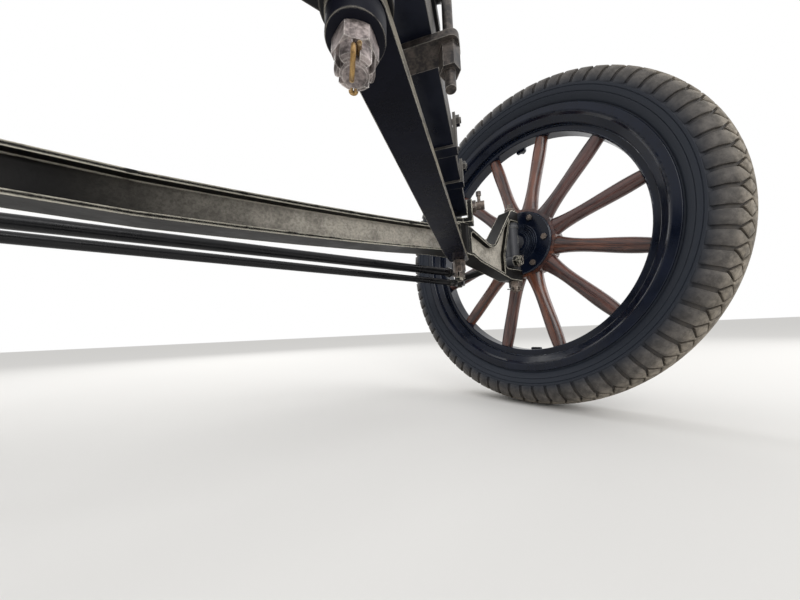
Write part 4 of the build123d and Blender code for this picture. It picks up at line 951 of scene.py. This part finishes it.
def carved(base: bpy.types.Mesh, tool: bpy.types.Mesh, operation: str) -> bpy.types.Mesh:
    """Cuts one mesh with another.

    Args:
        base: mesh to cut; it is removed.
        tool: mesh to cut with; it is removed.
        operation: the Boolean modifier's operation.

    Returns:
        The result.
    """
    holder, cutter = (linked(mesh.name, mesh) for mesh in (base, tool))
    modifier = holder.modifiers.new("Carve", "BOOLEAN")
    modifier.operation = operation
    modifier.solver = "EXACT"
    modifier.object = cutter
    mesh = evaluated(holder, base.name)
    bpy.data.objects.remove(cutter)
    for spent in (base, tool):
        bpy.data.meshes.remove(spent)
    finish_shape(mesh, weld=1e-5, sharp=25.0)
    return mesh


def wire(name: str, points: Sequence[Vector], radius: float) -> bpy.types.Mesh:
    """Makes a round wire along a smooth line.

    Args:
        name: mesh's name.
        points: control points of the line, in the frame.
        radius: wire's radius.

    Returns:
        A closed tube.
    """
    curve = bpy.data.curves.new(name, "CURVE")
    curve.dimensions = "3D"
    curve.bevel_depth = radius
    curve.bevel_resolution = 3
    curve.use_fill_caps = True
    line = curve.splines.new("NURBS")
    line.points.add(len(points) - 1)
    for point, where in zip(line.points, points):
        point.co = (*where, 1.0)
    line.order_u = 3
    line.use_endpoint_u = True
    line.resolution_u = 6
    mesh = evaluated(linked(name, curve), name)
    finish_shape(mesh)
    return mesh


@dataclass(frozen=True)
class RingOfCopies(SharedTree):
    """Geometry Nodes tree that repeats one shape round an axis, each copy a little different."""

    name: str = "Ring of copies"
    inputs: Sockets = (("Shape", "Geometry"), ("Count", "Int"), ("Wear", "Float"),
                       ("Weld", "Float"), ("Seed", "Int"), ("Centre", "Vector"),
                       ("Turn", "Vector"), ("Finish", "Material"))
    outputs: Sockets = (("Ring", "Geometry"),)
    kind: str = "GeometryNodeTree"

    def steps(self, canvas: Canvas, given: dict[str, bpy.types.NodeSocket]) -> Sequence[object]:
        """Adds the tree's own nodes, as SharedTree.steps says."""
        line = canvas.add("GeometryNodeMeshLine", given["Count"], Offset=(0, 0, 0))
        share = canvas.calc("DIVIDE", canvas.add("GeometryNodeInputIndex"), given["Count"])
        turn = canvas.add("CombineXYZ", canvas.times(share, math.tau), 0.0, 0.0)
        worn = canvas.add("FunctionNodeRandomValue", data_type="FLOAT", Seed=given["Seed"])
        low, high = worn.inputs[2], worn.inputs[3]
        canvas.plug(low, canvas.inverted(given["Wear"]))
        canvas.plug(high, 1.0)
        copies = canvas.add("GeometryNodeInstanceOnPoints", line, Instance=given["Shape"],
                            Rotation=turn, Scale=worn.outputs[1])
        shade = canvas.add("FunctionNodeRandomValue", data_type="FLOAT",
                           Seed=canvas.calc("ADD", given["Seed"], 1.0))
        marked = canvas.add("GeometryNodeStoreNamedAttribute", copies, data_type="FLOAT",
                            domain="INSTANCE", Name="shade", Value=shade.outputs[1])
        placed = canvas.add("GeometryNodeTransform", marked, Translation=given["Centre"],
                            Rotation=given["Turn"])
        real = canvas.add("GeometryNodeRealizeInstances", placed)
        welded = canvas.add("GeometryNodeMergeByDistance", real, Distance=given["Weld"])
        return [canvas.add("GeometryNodeSetMaterial", welded, Material=given["Finish"])]

    def mesh(self, name: str, shape: bpy.types.Mesh, **inputs: object) -> bpy.types.Mesh:
        """Repeats a shape.

        Args:
            name: name of the new mesh.
            shape: mesh of one copy, in local axes, standing off the local x axis; it is removed.
            inputs: the tree's other inputs by name.

        Returns:
            All the copies as one plain mesh.
        """
        holder = linked(name, shape)
        modifier = holder.modifiers.new("Ring", "NODES")
        modifier.node_group = self.tree()
        for item in modifier.node_group.interface.items_tree:
            if item.in_out == "INPUT" and item.name in inputs:
                modifier[item.identifier] = inputs[item.name]
        mesh = evaluated(holder, name)
        bpy.data.meshes.remove(shape)
        return mesh


# Tyres


@dataclass(frozen=True)
class TyreSection:
    """Outer line of a tyre's section, from the crown over the shoulder to the bead."""

    crown: float = 0.371
    tread_half: float = 0.042
    tread_drop: float = 0.011
    widest: float = 0.056
    widest_drop: float = 0.035
    bead_offset: float = 0.0377
    bead_radius: float = 0.300
    bead_foot: float = 0.2843
    bead_width: float = 0.012
    inside: tuple[Point, ...] = (
        (0.0257, 0.302), (0.040, 0.312), (0.047, 0.336), (0.0366, 0.3474), (0.020, 0.3556),
    )
    inside_crown: float = 0.3584
    steps: int = 24

    @cached_property
    def line(self) -> list[tuple[float, float, float]]:
        """The line's points: distance from the crown along it, offset and radius."""
        bow = (self.tread_half ** 2 + self.tread_drop ** 2) / (2 * self.tread_drop)
        drop = math.asin(self.tread_half / bow)
        shares = [step / self.steps for step in range(self.steps + 1)]
        points = [Vector((bow * math.sin(drop * share),
                          self.crown - bow + bow * math.cos(drop * share))) for share in shares]
        middle = self.crown - self.widest_drop
        inwards, down = self.widest - self.bead_offset, middle - self.bead_radius
        side = (inwards ** 2 + down ** 2) / (2 * inwards)
        end, low = math.asin(down / side), Vector((self.widest, middle))
        shoulder = points[-1]
        reach = (low - shoulder).length
        leave = Vector((math.cos(drop), -math.sin(drop))) * reach
        arrive = Vector((0, -reach))
        for share in shares[1:]:
            square, cube = share ** 2, share ** 3
            points.append(shoulder * (2 * cube - 3 * square + 1)
                          + leave * (cube - 2 * square + share)
                          + low * (3 * square - 2 * cube) + arrive * (cube - square))
        points += [Vector((self.widest - side + side * math.cos(end * share),
                           middle - side * math.sin(end * share))) for share in shares[1:]]
        line, along = [], 0.0
        for number, point in enumerate(points):
            along += (point - points[number - 1]).length if number else 0.0
            line.append((along, point.x, point.y))
        return line

    def at(self, across: float, depth: float = 0.0) -> Point:
        """Finds a point of the section.

        Args:
            across: distance from the crown along the outer line, negative on the inboard side.
            depth: how far under the outer line it is.

        Returns:
            Its offset from the wheel's middle plane and its radius.
        """
        wanted = min(abs(across), self.line[-1][0] - HAIR)
        number = next(n for n, point in enumerate(self.line) if point[0] > wanted)
        (start, *first), (end, *second) = self.line[number - 1], self.line[number]
        point = Vector(first).lerp(Vector(second), (wanted - start) / (end - start))
        way = (Vector(second) - Vector(first)).normalized()
        point -= Vector((-way.y, way.x)) * depth
        return math.copysign(point.x, across), point.y


@dataclass(frozen=True)
class TreadPlan:
    """One pitch of the tread laid flat: distances around the tyre and across it."""

    section: TyreSection = TyreSection()
    pitches: int = 74
    depth: float = 0.0048
    ease: float = 0.0003                 # tops under the outer line, so that chords stay in it
    sink: float = 0.0006                 # and further under it at the shoulder's end
    chamfer: float = 0.0009
    chamfer_drop: float = 0.8            # depth of a chamfer as a share of its width
    slot_half: float = 0.0038            # slots between the shoulder blocks
    shoulder_end: float = 0.083
    shoulder_fade: float = 0.0785
    fork: float = 0.043                  # where a slot forks round its diamond
    diamond_tip: float = 0.0405
    diamond_side: float = 0.0225
    diamond_half: float = 0.0112
    diamond_root: float = 0.0065
    bridge_half: float = 0.0016          # ties that hold the shoulder blocks to the middle rib
    bridge_top: float = 0.0245
    bridge_foot: float = 0.0205
    rib_waist: float = 0.0025
    slice: float = 0.007                 # rows of faces, so that the blocks follow the crown

    @property
    def pitch(self) -> float:
        """Length of one pitch at the crown."""
        return math.tau * self.section.crown / self.pitches

    def outlines(self) -> list[list[Point]]:
        """Lays out the raised blocks of one pitch, which starts at a slot of the +side.

        Returns:
            The blocks' outlines.
        """
        half, tie = self.pitch / 2, self.bridge_half
        slot, foot, top, waist = self.slot_half, self.bridge_foot, self.bridge_top, self.rib_waist
        side = [
            [(half - tie, top), (half + tie, top), (2 * half - slot, self.fork),
             (2 * half - slot, self.shoulder_end), (slot, self.shoulder_end), (slot, self.fork)],
            [(half - tie, foot), (half, foot), (half + tie, foot), (half + tie, top),
             (half - tie, top)],
            [(0, self.diamond_tip), (-self.diamond_half, self.diamond_side),
             (0, self.diamond_root), (self.diamond_half, self.diamond_side)],
        ]
        other = [[(around + half, -across) for around, across in shape] for shape in side]
        rib = [(0, waist), (half - tie, foot), (half, foot), (half, -waist), (tie, -foot),
               (0, -foot)]
        return side + other + [rib, [(2 * half - around, across) for around, across in rib]]

    def height(self, across: float) -> float:
        """Returns how far under the outer line the tops lie, so that their ends sink away."""
        fade = (abs(across) - self.shoulder_fade) / (self.shoulder_end - self.shoulder_fade)
        return self.ease + self.sink * max(0.0, fade) ** 2

    def flat(self) -> bmesh.types.BMesh:
        """Lays out three pitches as flat faces that share their points, cut in slices.

        Returns:
            The flat mesh, around along x and across along y.
        """
        shape = bmesh.new()
        for copy in (-1, 0, 1):
            for outline in self.outlines():
                shape.faces.new([shape.verts.new((around + copy * self.pitch, across, 0.0))
                                 for around, across in outline])
        bmesh.ops.remove_doubles(shape, verts=shape.verts, dist=WELD)
        bmesh.ops.recalc_face_normals(shape, faces=shape.faces)
        for face in shape.faces:
            if face.normal.z < 0:
                face.normal_flip()
        rows = int(self.shoulder_end / self.slice)
        for row in range(-rows, rows + 1):
            self.cut(shape, (0, row * self.slice, 0), (0, 1, 0))
        return shape

    @staticmethod
    def cut(shape: bmesh.types.BMesh, place: Place, normal: Place, clear: bool = False) -> None:
        """Cuts a mesh along a plane.

        Args:
            shape: mesh to cut.
            place: point of the plane.
            normal: its normal.
            clear: whether what lies beyond it is removed.
        """
        parts = shape.verts[:] + shape.edges[:] + shape.faces[:]
        bmesh.ops.bisect_plane(shape, geom=parts, plane_co=place, plane_no=normal,
                               dist=SLIVER, clear_outer=clear)

    def cell(self) -> bpy.types.Mesh:
        """Builds one closed pitch of tread in a wheel's own axes, standing off local x.

        Returns:
            The mesh, open only where the next pitch joins it.
        """
        shape = self.flat()
        floor = -self.depth - self.sink
        under = bmesh.ops.duplicate(shape, geom=shape.verts[:] + shape.edges[:] + shape.faces[:])
        low = [part for part in under["geom"] if isinstance(part, bmesh.types.BMVert)]
        turned = [part for part in under["geom"] if isinstance(part, bmesh.types.BMFace)]
        for point in low:
            point.co.z = floor
        bmesh.ops.reverse_faces(shape, faces=turned)
        hidden = set(turned)
        tops = [face for face in shape.faces if face not in hidden]
        bmesh.ops.inset_region(shape, faces=tops, thickness=self.chamfer, use_boundary=True,
                               use_even_offset=True)
        for face in tops:
            face.smooth = True
        rims = [edge for edge in shape.edges
                if edge.is_boundary and edge.verts[0].co.z > floor / 2]
        for point in {point for edge in rims for point in edge.verts}:
            point.co.z = -self.chamfer * self.chamfer_drop
        walls = bmesh.ops.extrude_edge_only(shape, edges=rims)
        for part in walls["geom"]:
            if isinstance(part, bmesh.types.BMVert):
                part.co.z = floor
        bmesh.ops.remove_doubles(shape, verts=shape.verts, dist=WELD)
        self.cut(shape, (0, 0, 0), (-1, 0, 0), clear=True)
        self.cut(shape, (self.pitch, 0, 0), (1, 0, 0), clear=True)
        for point in shape.verts:
            around, across, height = point.co
            offset, radius = self.section.at(across, self.height(across) - height)
            point.co = (offset, *polar(radius, around / self.section.crown))
        mesh = bpy.data.meshes.new("Tread pitch")
        shape.to_mesh(mesh)
        shape.free()
        return mesh


@dataclass(frozen=True)
class Tyre:
    """Tyre of one wheel: a smooth casing with ring lines, and a tread of slots and diamonds."""

    hand: Hand
    section: TyreSection = TyreSection()
    tread: TreadPlan = TreadPlan()
    floor_step: float = 0.0077           # between the points of the tread's floor
    floor_points: int = 11
    floor_end: float = 0.0775            # tread's floor rises to the sidewall from here
    floor_top: float = 0.082
    ring_lines: Span = (0.0865, 0.0965)  # sunk lines round the sidewall
    line_half: float = 0.0009
    line_depth: float = 0.0011
    wall_steps: int = 4
    segments: int = 222
    wear: float = 0.0004
    weld: float = 0.0005
    seed: int = 11

    def outer_line(self) -> list[Point]:
        """Lays out the casing's outer side.

        Returns:
            Its points, as distances across and depths.
        """
        half, deep = self.line_half, self.line_depth
        line = [(self.floor_step * step, self.tread.depth) for step in range(self.floor_points)]
        line += [(self.floor_end, self.tread.depth), (self.floor_top, 0.0)]
        for middle in self.ring_lines:
            line += [(middle - 2 * half, 0.0), (middle - half, 0.0), (middle - half / 3, deep),
                     (middle + half / 3, deep), (middle + half, 0.0), (middle + 2 * half, 0.0)]
        end, start = self.section.line[-1][0], self.ring_lines[-1] + 3 * half
        return line + [(start + (end - start) * step / self.wall_steps, 0.0)
                       for step in range(self.wall_steps + 1)]

    def loop(self) -> list[Point]:
        """Lays out the casing's closed section.

        Returns:
            Its points, as offsets and radii.
        """
        section = self.section
        side = [section.at(across, depth) for across, depth in self.outer_line()]
        inner = section.bead_offset - section.bead_width
        side += [(section.bead_offset, section.bead_foot), (inner, section.bead_foot)]
        side += list(section.inside)
        other = [(-offset, radius) for offset, radius in side[1:]]
        return side + [(0.0, section.inside_crown)] + other[::-1]

    def build(self) -> None:
        """Builds and dresses the tyre's two pieces, in place of the CAD tyre."""
        wheel, hand = WheelAxis.of(self.hand), self.hand.value
        body, node = f"wheel_{hand}", f"tyre_{hand}"
        casing = add_piece(
            f"tyre_casing_{hand}", lathe("Tyre casing", self.loop(), wheel.place(), self.segments),
            body, Rubber(f"Sidewall rubber {hand}", hand=self.hand))
        finish = TreadRubber(f"Tread rubber {hand}", hand=self.hand)
        blocks = RingOfCopies().mesh(
            f"Tread {hand}", self.tread.cell(), Count=self.tread.pitches, Wear=self.wear,
            Weld=self.weld, Seed=self.seed + self.hand.sign, Centre=wheel.centre,
            Turn=wheel.turn.to_euler(), Finish=finish.material())
        tread = add_piece(f"tyre_tread_{hand}", blocks, body, finish)
        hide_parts(node)
        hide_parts(node)


# Hubs and fastenings


def car(x: float, behind: float, above: float) -> Vector:
    """Returns the frame's point at x, behind the axle and above the wheels' centres."""
    return Vector((x, behind + AXLE_BEHIND, above - WHEELS_BELOW))


def stand(origin: Vector, axis: Vector, corner: Vector) -> Matrix:
    """Places local axes on a bolt.

    Args:
        origin: their origin.
        axis: direction of local x.
        corner: direction that local y is near.

    Returns:
        The matrix from the local axes to the frame.
    """
    along = axis.normalized()
    side = along.cross(corner).normalized()
    turn = Matrix((along, side.cross(along), side)).transposed()
    return Matrix.Translation(origin) @ turn.to_4x4()


@dataclass(frozen=True)
class HexHead:
    """Hexagon head or nut whose ends are turned down to a round, a castle nut with a crown."""

    flats: float
    tall: float
    crown: float = 0.0                   # height of a castle nut's slotted end
    bore: float = 0.002
    crown_share: float = 0.98            # crown's width as a share of the flats'
    slot_share: float = 0.17             # and a slot's
    ease: float = 0.0016
    proud: float = 0.0002                # turned section past the corners
    spare: float = 0.001                 # cutting shapes past the ends
    segments: int = 48

    @property
    def corner(self) -> float:
        """Radius to a corner."""
        return self.flats / 2 / math.cos(math.pi / HEXAGON)

    @property
    def crown_radius(self) -> float:
        """Radius of the crown."""
        return self.flats * self.crown_share / 2

    @property
    def end(self) -> float:
        """Height of the whole nut."""
        return self.tall + self.crown

    def turned(self) -> list[Point]:
        """Lays out the round section that the hexagon is cut to.

        Returns:
            Its points, as heights and radii.
        """
        flat, corner = self.flats / 2, self.corner + self.proud
        section = [(0.0, self.bore), (0.0, flat), (self.ease, corner),
                   (self.tall - self.ease, corner), (self.tall, flat)]
        if self.crown:
            section += [(self.tall, self.crown_radius), (self.end - self.ease, self.crown_radius),
                        (self.end, self.crown_radius - self.ease)]
        return section + [(self.end, self.bore)]

    def slots(self) -> list[Point]:
        """Lays out the star of a castle nut's slots, in the middle of its flats.

        Returns:
            Its points.
        """
        half, star = self.flats * self.slot_share / 2, []
        for arm in range(HEXAGON):
            turn = math.tau * (arm + 0.5) / HEXAGON
            (out_y, out_z), (side_y, side_z) = polar(self.flats, turn), polar(half, turn)
            star += [(out_y + side_z, out_z - side_y), (out_y - side_z, out_z + side_y),
                     polar(2 * half, turn + math.pi / HEXAGON)]
        return star

    def mesh(self, place: Matrix) -> bpy.types.Mesh:
        """Builds the head, standing on a place along its local x, with a corner on local y.

        Args:
            place: matrix from the head's axes to the frame.

        Returns:
            A closed mesh.
        """
        corners = [polar(self.corner, math.tau * step / HEXAGON) for step in range(HEXAGON)]
        head = prism("Head", corners, -self.spare, self.end + self.spare, place)
        head = carved(head, lathe("Round", self.turned(), place, self.segments), "INTERSECT")
        if self.crown:
            star = prism("Slots", self.slots(), self.tall, self.end + 2 * self.spare, place)
            head = carved(head, star, "DIFFERENCE")
        return head


@dataclass(frozen=True)
class SplitPin:
    """Split pin through a castle nut: an eye, a leg folded over the bolt's end and a lower leg."""

    radius: float = 0.0009
    eye: float = 0.0022                  # half the eye's width
    end: float = 0.006                   # bolt's end, outward of the pin's hole
    fold: float = 0.7                    # how far a leg crosses the end, as a share of the nut
    inward: float = 0.006                # how far the lower leg bends down a flat
    legs: float = 1.05                   # half the distance between the legs, in radii
    clear: float = 1.1                   # folded leg above the bolt's end, in radii
    foot: float = 0.0012                 # where the eye starts, outside the crown
    eye_line: Place = (0.6, 1.9, 2.5)    # its neck, belly and end from there, in half widths
    rise: Place = (0.3, 0.9, 0.6)        # shares that shape a leg's bend: low, high, across

    def mesh(self, place: Matrix, height: float, reach: float, turn: float) -> bpy.types.Mesh:
        """Builds the pin.

        Args:
            place: matrix from the nut's axes to the frame, with local x outwards.
            height: where the pin crosses the nut, along local x.
            reach: the crown's radius.
            turn: direction of the bent legs from local y, in radians.

        Returns:
            A closed tube.
        """
        half, foot, bend = self.radius * self.legs, -reach - self.foot, reach + self.radius
        over, eye, down = self.end + self.radius * self.clear, self.eye, self.inward
        neck, belly, tip = (foot - eye * share for share in self.eye_line)
        low, high, run = self.rise
        path = [(over, reach * (1 - 2 * self.fold), half), (over, 0.0, half),
                (over, reach * run, half), (over * high, bend, half),
                (over * low, bend + self.radius, half), (0.0, reach, half), (0.0, 0.0, half),
                (0.0, foot, half), (0.0, neck, eye), (0.0, belly, eye), (0.0, tip, 0.0),
                (0.0, belly, -eye), (0.0, neck, -eye), (0.0, foot, -half), (0.0, 0.0, -half),
                (0.0, reach, -half), (-down * low, bend + self.radius, -half),
                (-down, bend + self.radius * run, -half)]
        cosine, sine = math.cos(turn), math.sin(turn)
        return wire("Split pin", [
            place @ Vector((height + along, out * cosine - beside * sine,
                            out * sine + beside * cosine)) for along, out, beside in path
        ], self.radius)


@dataclass(frozen=True)
class StrapBolt:
    """Bolt through a strap's front end, with a collar and a castle nut underneath."""

    hand: Hand
    place: Place = (0.115, -0.258, -0.0152)      # strap's middle at the bolt, as car() takes it
    slope: float = math.radians(6.9)             # strap's rise along its way
    way: Point = (-0.8143, -0.5804)
    radius: float = 0.008
    seat: float = 0.0043                         # strap's underside below its middle
    collar_radius: float = 0.0175
    collar_tall: float = 0.0152
    collar_inside: float = 0.0075
    nut: HexHead = HexHead(0.0232, 0.0128, 0.0105, 0.0077)
    head: HexHead = HexHead(0.0255, 0.011)
    head_seat: float = 0.0303                    # head's seat above the strap's middle
    past: float = 0.0012                         # bolt's end past the nut
    ease: float = 0.0011
    pin: SplitPin = SplitPin(radius=0.0014, eye=0.0016, end=0.00645, fold=0.55, inward=0.0)
    pin_turn: float = math.radians(-30)
    shank_segments: int = 48
    collar_segments: int = 72

    def collar(self) -> list[Point]:
        """Returns the section of the collar, with eased edges."""
        out, inner, end = self.collar_radius, self.collar_inside, self.collar_tall
        return [(0.0, inner), *eased((0.0, out), (0, 1), (1, 0), self.ease),
                *eased((end, out), (1, 0), (0, -1), self.ease), (end, inner)]

    def build(self) -> None:
        """Builds and dresses the bolt in place of its CAD node, with collar and split pin."""
        side, hand = self.hand.sign, self.hand.value
        way = Vector((side * self.way[0], self.way[1], math.tan(self.slope))).normalized()
        up = way.cross(Vector((0, 0, 1)).cross(way).normalized())
        middle = car(side * self.place[0], *self.place[1:])
        under = stand(middle - up * self.seat, -up, way)
        above = stand(middle + up * self.head_seat, up, way)
        nut_place = under @ Matrix.Translation((self.collar_tall, 0, 0))
        top = -self.seat - self.head_seat - self.head.tall / 2
        end = self.collar_tall + self.nut.end + self.past
        shank = [(top, 0.0), (top, self.radius), (end - self.ease, self.radius),
                 (end, self.radius - self.ease), (end, 0.0)]
        parts = [lathe("Shank", shank, under, self.shank_segments), self.nut.mesh(nut_place),
                 self.head.mesh(above)]
        bolt = add_piece(f"strap_fastening_{hand}", joined("Strap bolt", parts), "axle",
                         NUT_STEEL)
        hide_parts(f"strap_bolt_{hand}")
        collar = lathe("Collar", self.collar(), under, self.collar_segments)
        add_piece(f"strap_collar_{hand}", collar, "axle", COLLAR_BLACK)
        height = self.nut.tall + self.nut.crown / 2
        pin = self.pin.mesh(nut_place, height, self.nut.crown_radius, self.pin_turn * side)
        add_piece(f"strap_pin_{hand}", pin, "axle", BRASS)


@dataclass(frozen=True)
class HubRings:
    """Turned rings round the boss of a hub's inner flange, lower from step to step."""

    hand: Hand
    face: float = -0.0165                # flange's inner face, from the wheel's middle plane
    sunk: float = 0.0006                 # rings' back, under the face
    inner: float = 0.0322
    width: float = 0.0036
    gap: float = 0.0008
    heights: Place = (0.0034, 0.0026, 0.0018)
    ease: float = 0.0007
    segments: int = 128

    def section(self) -> list[Point]:
        """Lays out the rings' section, whose back is sunk in the flange.

        Returns:
            Its points, as offsets and radii.
        """
        back, groove, radius = self.face + self.sunk, self.face + self.sunk / 2, self.inner
        section = [(back, radius)]
        for height in self.heights:
            top, far = self.face - height, radius + self.width
            section += eased((top, radius), (-1, 0), (0, 1), self.ease)
            section += eased((top, far), (0, 1), (1, 0), self.ease)
            radius = far + self.gap
            section += [(groove, far), (groove, radius)]
        return section[:-2] + [(back, far)]

    def build(self) -> None:
        """Builds and dresses the rings, which turn with the wheel."""
        hand, place = self.hand.value, WheelAxis.of(self.hand).place()
        rings = lathe("Hub rings", self.section(), place, self.segments)
        add_piece(f"hub_rings_{hand}", rings, f"wheel_{hand}", WHEEL_ENAMEL)


@dataclass(frozen=True)
class NutSeat:
    """Castle nut on one of the CAD's bolts, as it is on the left side."""

    name: str
    place: Place                         # its seat, as car() takes it
    out: Place                           # direction from there to the bolt's end
    nut: HexHead
    past: float                          # bolt's end past the nut
    turn: float                          # split pin's legs from +X, in degrees


@dataclass(frozen=True)
class NutPins:
    """Castle nut of a spring perch, and the split pins of one side's castle nuts."""

    hand: Hand
    perch: NutSeat = NutSeat("perch", (0.477, 0.0, -0.0645), (0, 0, -1),
                             HexHead(0.021, 0.024, 0.010, 0.0081), 0.007, 90)
    king: NutSeat = NutSeat("king", (0.665, 0.0, -0.095), (0, 0, -1),
                            HexHead(0.026, 0.013, 0.006), 0.003, 60)
    arm: NutSeat = NutSeat("arm", (0.650, -0.014, -0.0512), (0, -1, 0),
                           HexHead(0.022, 0.009, 0.005), 0.002, 60)

    def stand(self, seat: NutSeat) -> Matrix:
        """Returns the place of a nut on this side."""
        x, behind, above = seat.place
        return stand(car(self.hand.sign * x, behind, above), Vector(seat.out), Vector((1, 0, 0)))

    def build(self) -> None:
        """Builds and dresses the nut and the pins."""
        hand = self.hand.value
        nut = add_piece(f"perch_castle_nut_{hand}", self.perch.nut.mesh(self.stand(self.perch)),
                        "axle", RUSTY)
        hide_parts(f"perch_nut_{hand}")
        for seat, body in ((self.perch, "axle"), (self.king, "axle"),
                           (self.arm, f"knuckle_{hand}")):
            size = seat.nut
            pin = SplitPin(end=size.crown / 2 + seat.past)
            mesh = pin.mesh(self.stand(seat), size.tall + size.crown / 2, size.crown_radius,
                            math.radians(seat.turn))
            add_piece(f"{seat.name}_pin_{hand}", mesh, body, RUSTY)


# Photograph's view and studio


@dataclass(frozen=True)
class PhotoView:
    """The photograph's camera, found from points of known size."""

    place: Place = (0.0352, -0.0549, -0.3864)
    yaw: float = math.radians(36.69)     # from the rear towards the car's left side
    pitch: float = math.radians(6.13)
    roll: float = math.radians(-2.58)
    focal_pixels: float = 302.7
    sensor: float = 36.0
    nearest: float = 0.01                # nearest distance that shows

    def build(self) -> None:
        """Makes the camera and sets it as the scene's."""
        forward = Vector((math.sin(self.yaw) * math.cos(self.pitch),
                          math.cos(self.yaw) * math.cos(self.pitch), math.sin(self.pitch)))
        level = Vector((math.cos(self.yaw), -math.sin(self.yaw), 0))
        upright = level.cross(forward)
        right = level * math.cos(self.roll) + upright * math.sin(self.roll)
        up = upright * math.cos(self.roll) - level * math.sin(self.roll)
        data = bpy.data.cameras.new("Photo camera")
        data.sensor_width = self.sensor
        data.lens = self.focal_pixels / PHOTO_WIDTH * self.sensor
        data.clip_start = self.nearest
        camera = linked("Photo camera", data)
        turn = Matrix((right, up, -forward)).transposed()
        camera.matrix_world = Matrix.Translation(self.place) @ turn.to_4x4()
        bpy.context.scene.camera = camera


@dataclass(frozen=True)
class Lamp:
    """Square lamp that looks at the object's middle."""

    name: str
    place: Place
    size: float                          # side of the square
    power: float                         # in watts

    def build(self) -> None:
        """Makes the lamp."""
        data = bpy.data.lights.new(self.name, "AREA")
        data.size = self.size
        data.energy = self.power
        aim = (CAD_BOX[0] + CAD_BOX[1]) / 2 - Vector(self.place)
        turn = aim.to_track_quat("-Z", "Y").to_matrix()
        linked(self.name, data).matrix_world = Matrix.Translation(self.place) @ turn.to_4x4()


@dataclass(frozen=True)
class Studio:
    """Pale floor, white surroundings and soft lamps."""

    floor_reach: float = 40.0
    sky_strength: float = 0.82
    lamps: tuple[Lamp, ...] = (
        Lamp("Front key", (-1.6, -2.6, 1.6), 2.2, 60.0),
        Lamp("Side fill", (2.6, -1.4, 0.9), 2.0, 28.0),
        Lamp("Rear light", (0.6, 3.0, 1.8), 2.4, 35.0),
    )

    def build(self) -> None:
        """Makes the floor, the world and the lamps."""
        self.build_floor()
        self.build_world()
        for lamp in self.lamps:
            lamp.build()

    def build_floor(self) -> None:
        """Makes the floor under the tyres."""
        reach, height = self.floor_reach, CAD_BOX[0].z
        corners = [(x * reach, y * reach, height) for x, y in ((-1, -1), (1, -1), (1, 1), (-1, 1))]
        mesh = bpy.data.meshes.new("Floor")
        mesh.from_pydata(corners, [], [(0, 1, 2, 3)])
        mesh.materials.append(PaleFloor("Pale floor").material())
        floor = linked("Floor", mesh)

    def build_world(self) -> None:
        """Makes surroundings that are white to the eye and in reflections."""
        world = bpy.data.worlds.new("Studio")
        world.use_nodes = True
        canvas = Canvas(world.node_tree)
        path = canvas.add("LightPath").outputs
        seen = canvas.calc("ADD", path["Is Camera Ray"], path["Is Transmission Ray"])
        shown = canvas.calc("ADD", seen, path["Is Glossy Ray"], clamp=True)
        strength = canvas.mix(shown, self.sky_strength, 1.0)
        canvas.add("OutputWorld", canvas.add("Background", (1.0, 1.0, 1.0), strength))
        bpy.context.scene.world = world


def main() -> None:
    """Builds the view, the studio and every piece, in order."""
    logging.basicConfig(level=logging.INFO, format="%(name)s: %(message)s")
    bpy.context.scene.view_settings.view_transform = "Standard"
    PhotoView().build()
    Studio().build()
    dress_nodes()
    for hand in Hand:
        for kind in (Tyre, HubRings, StrapBolt, NutPins):
            kind(hand).build()


if __name__ == "__main__":
    main()
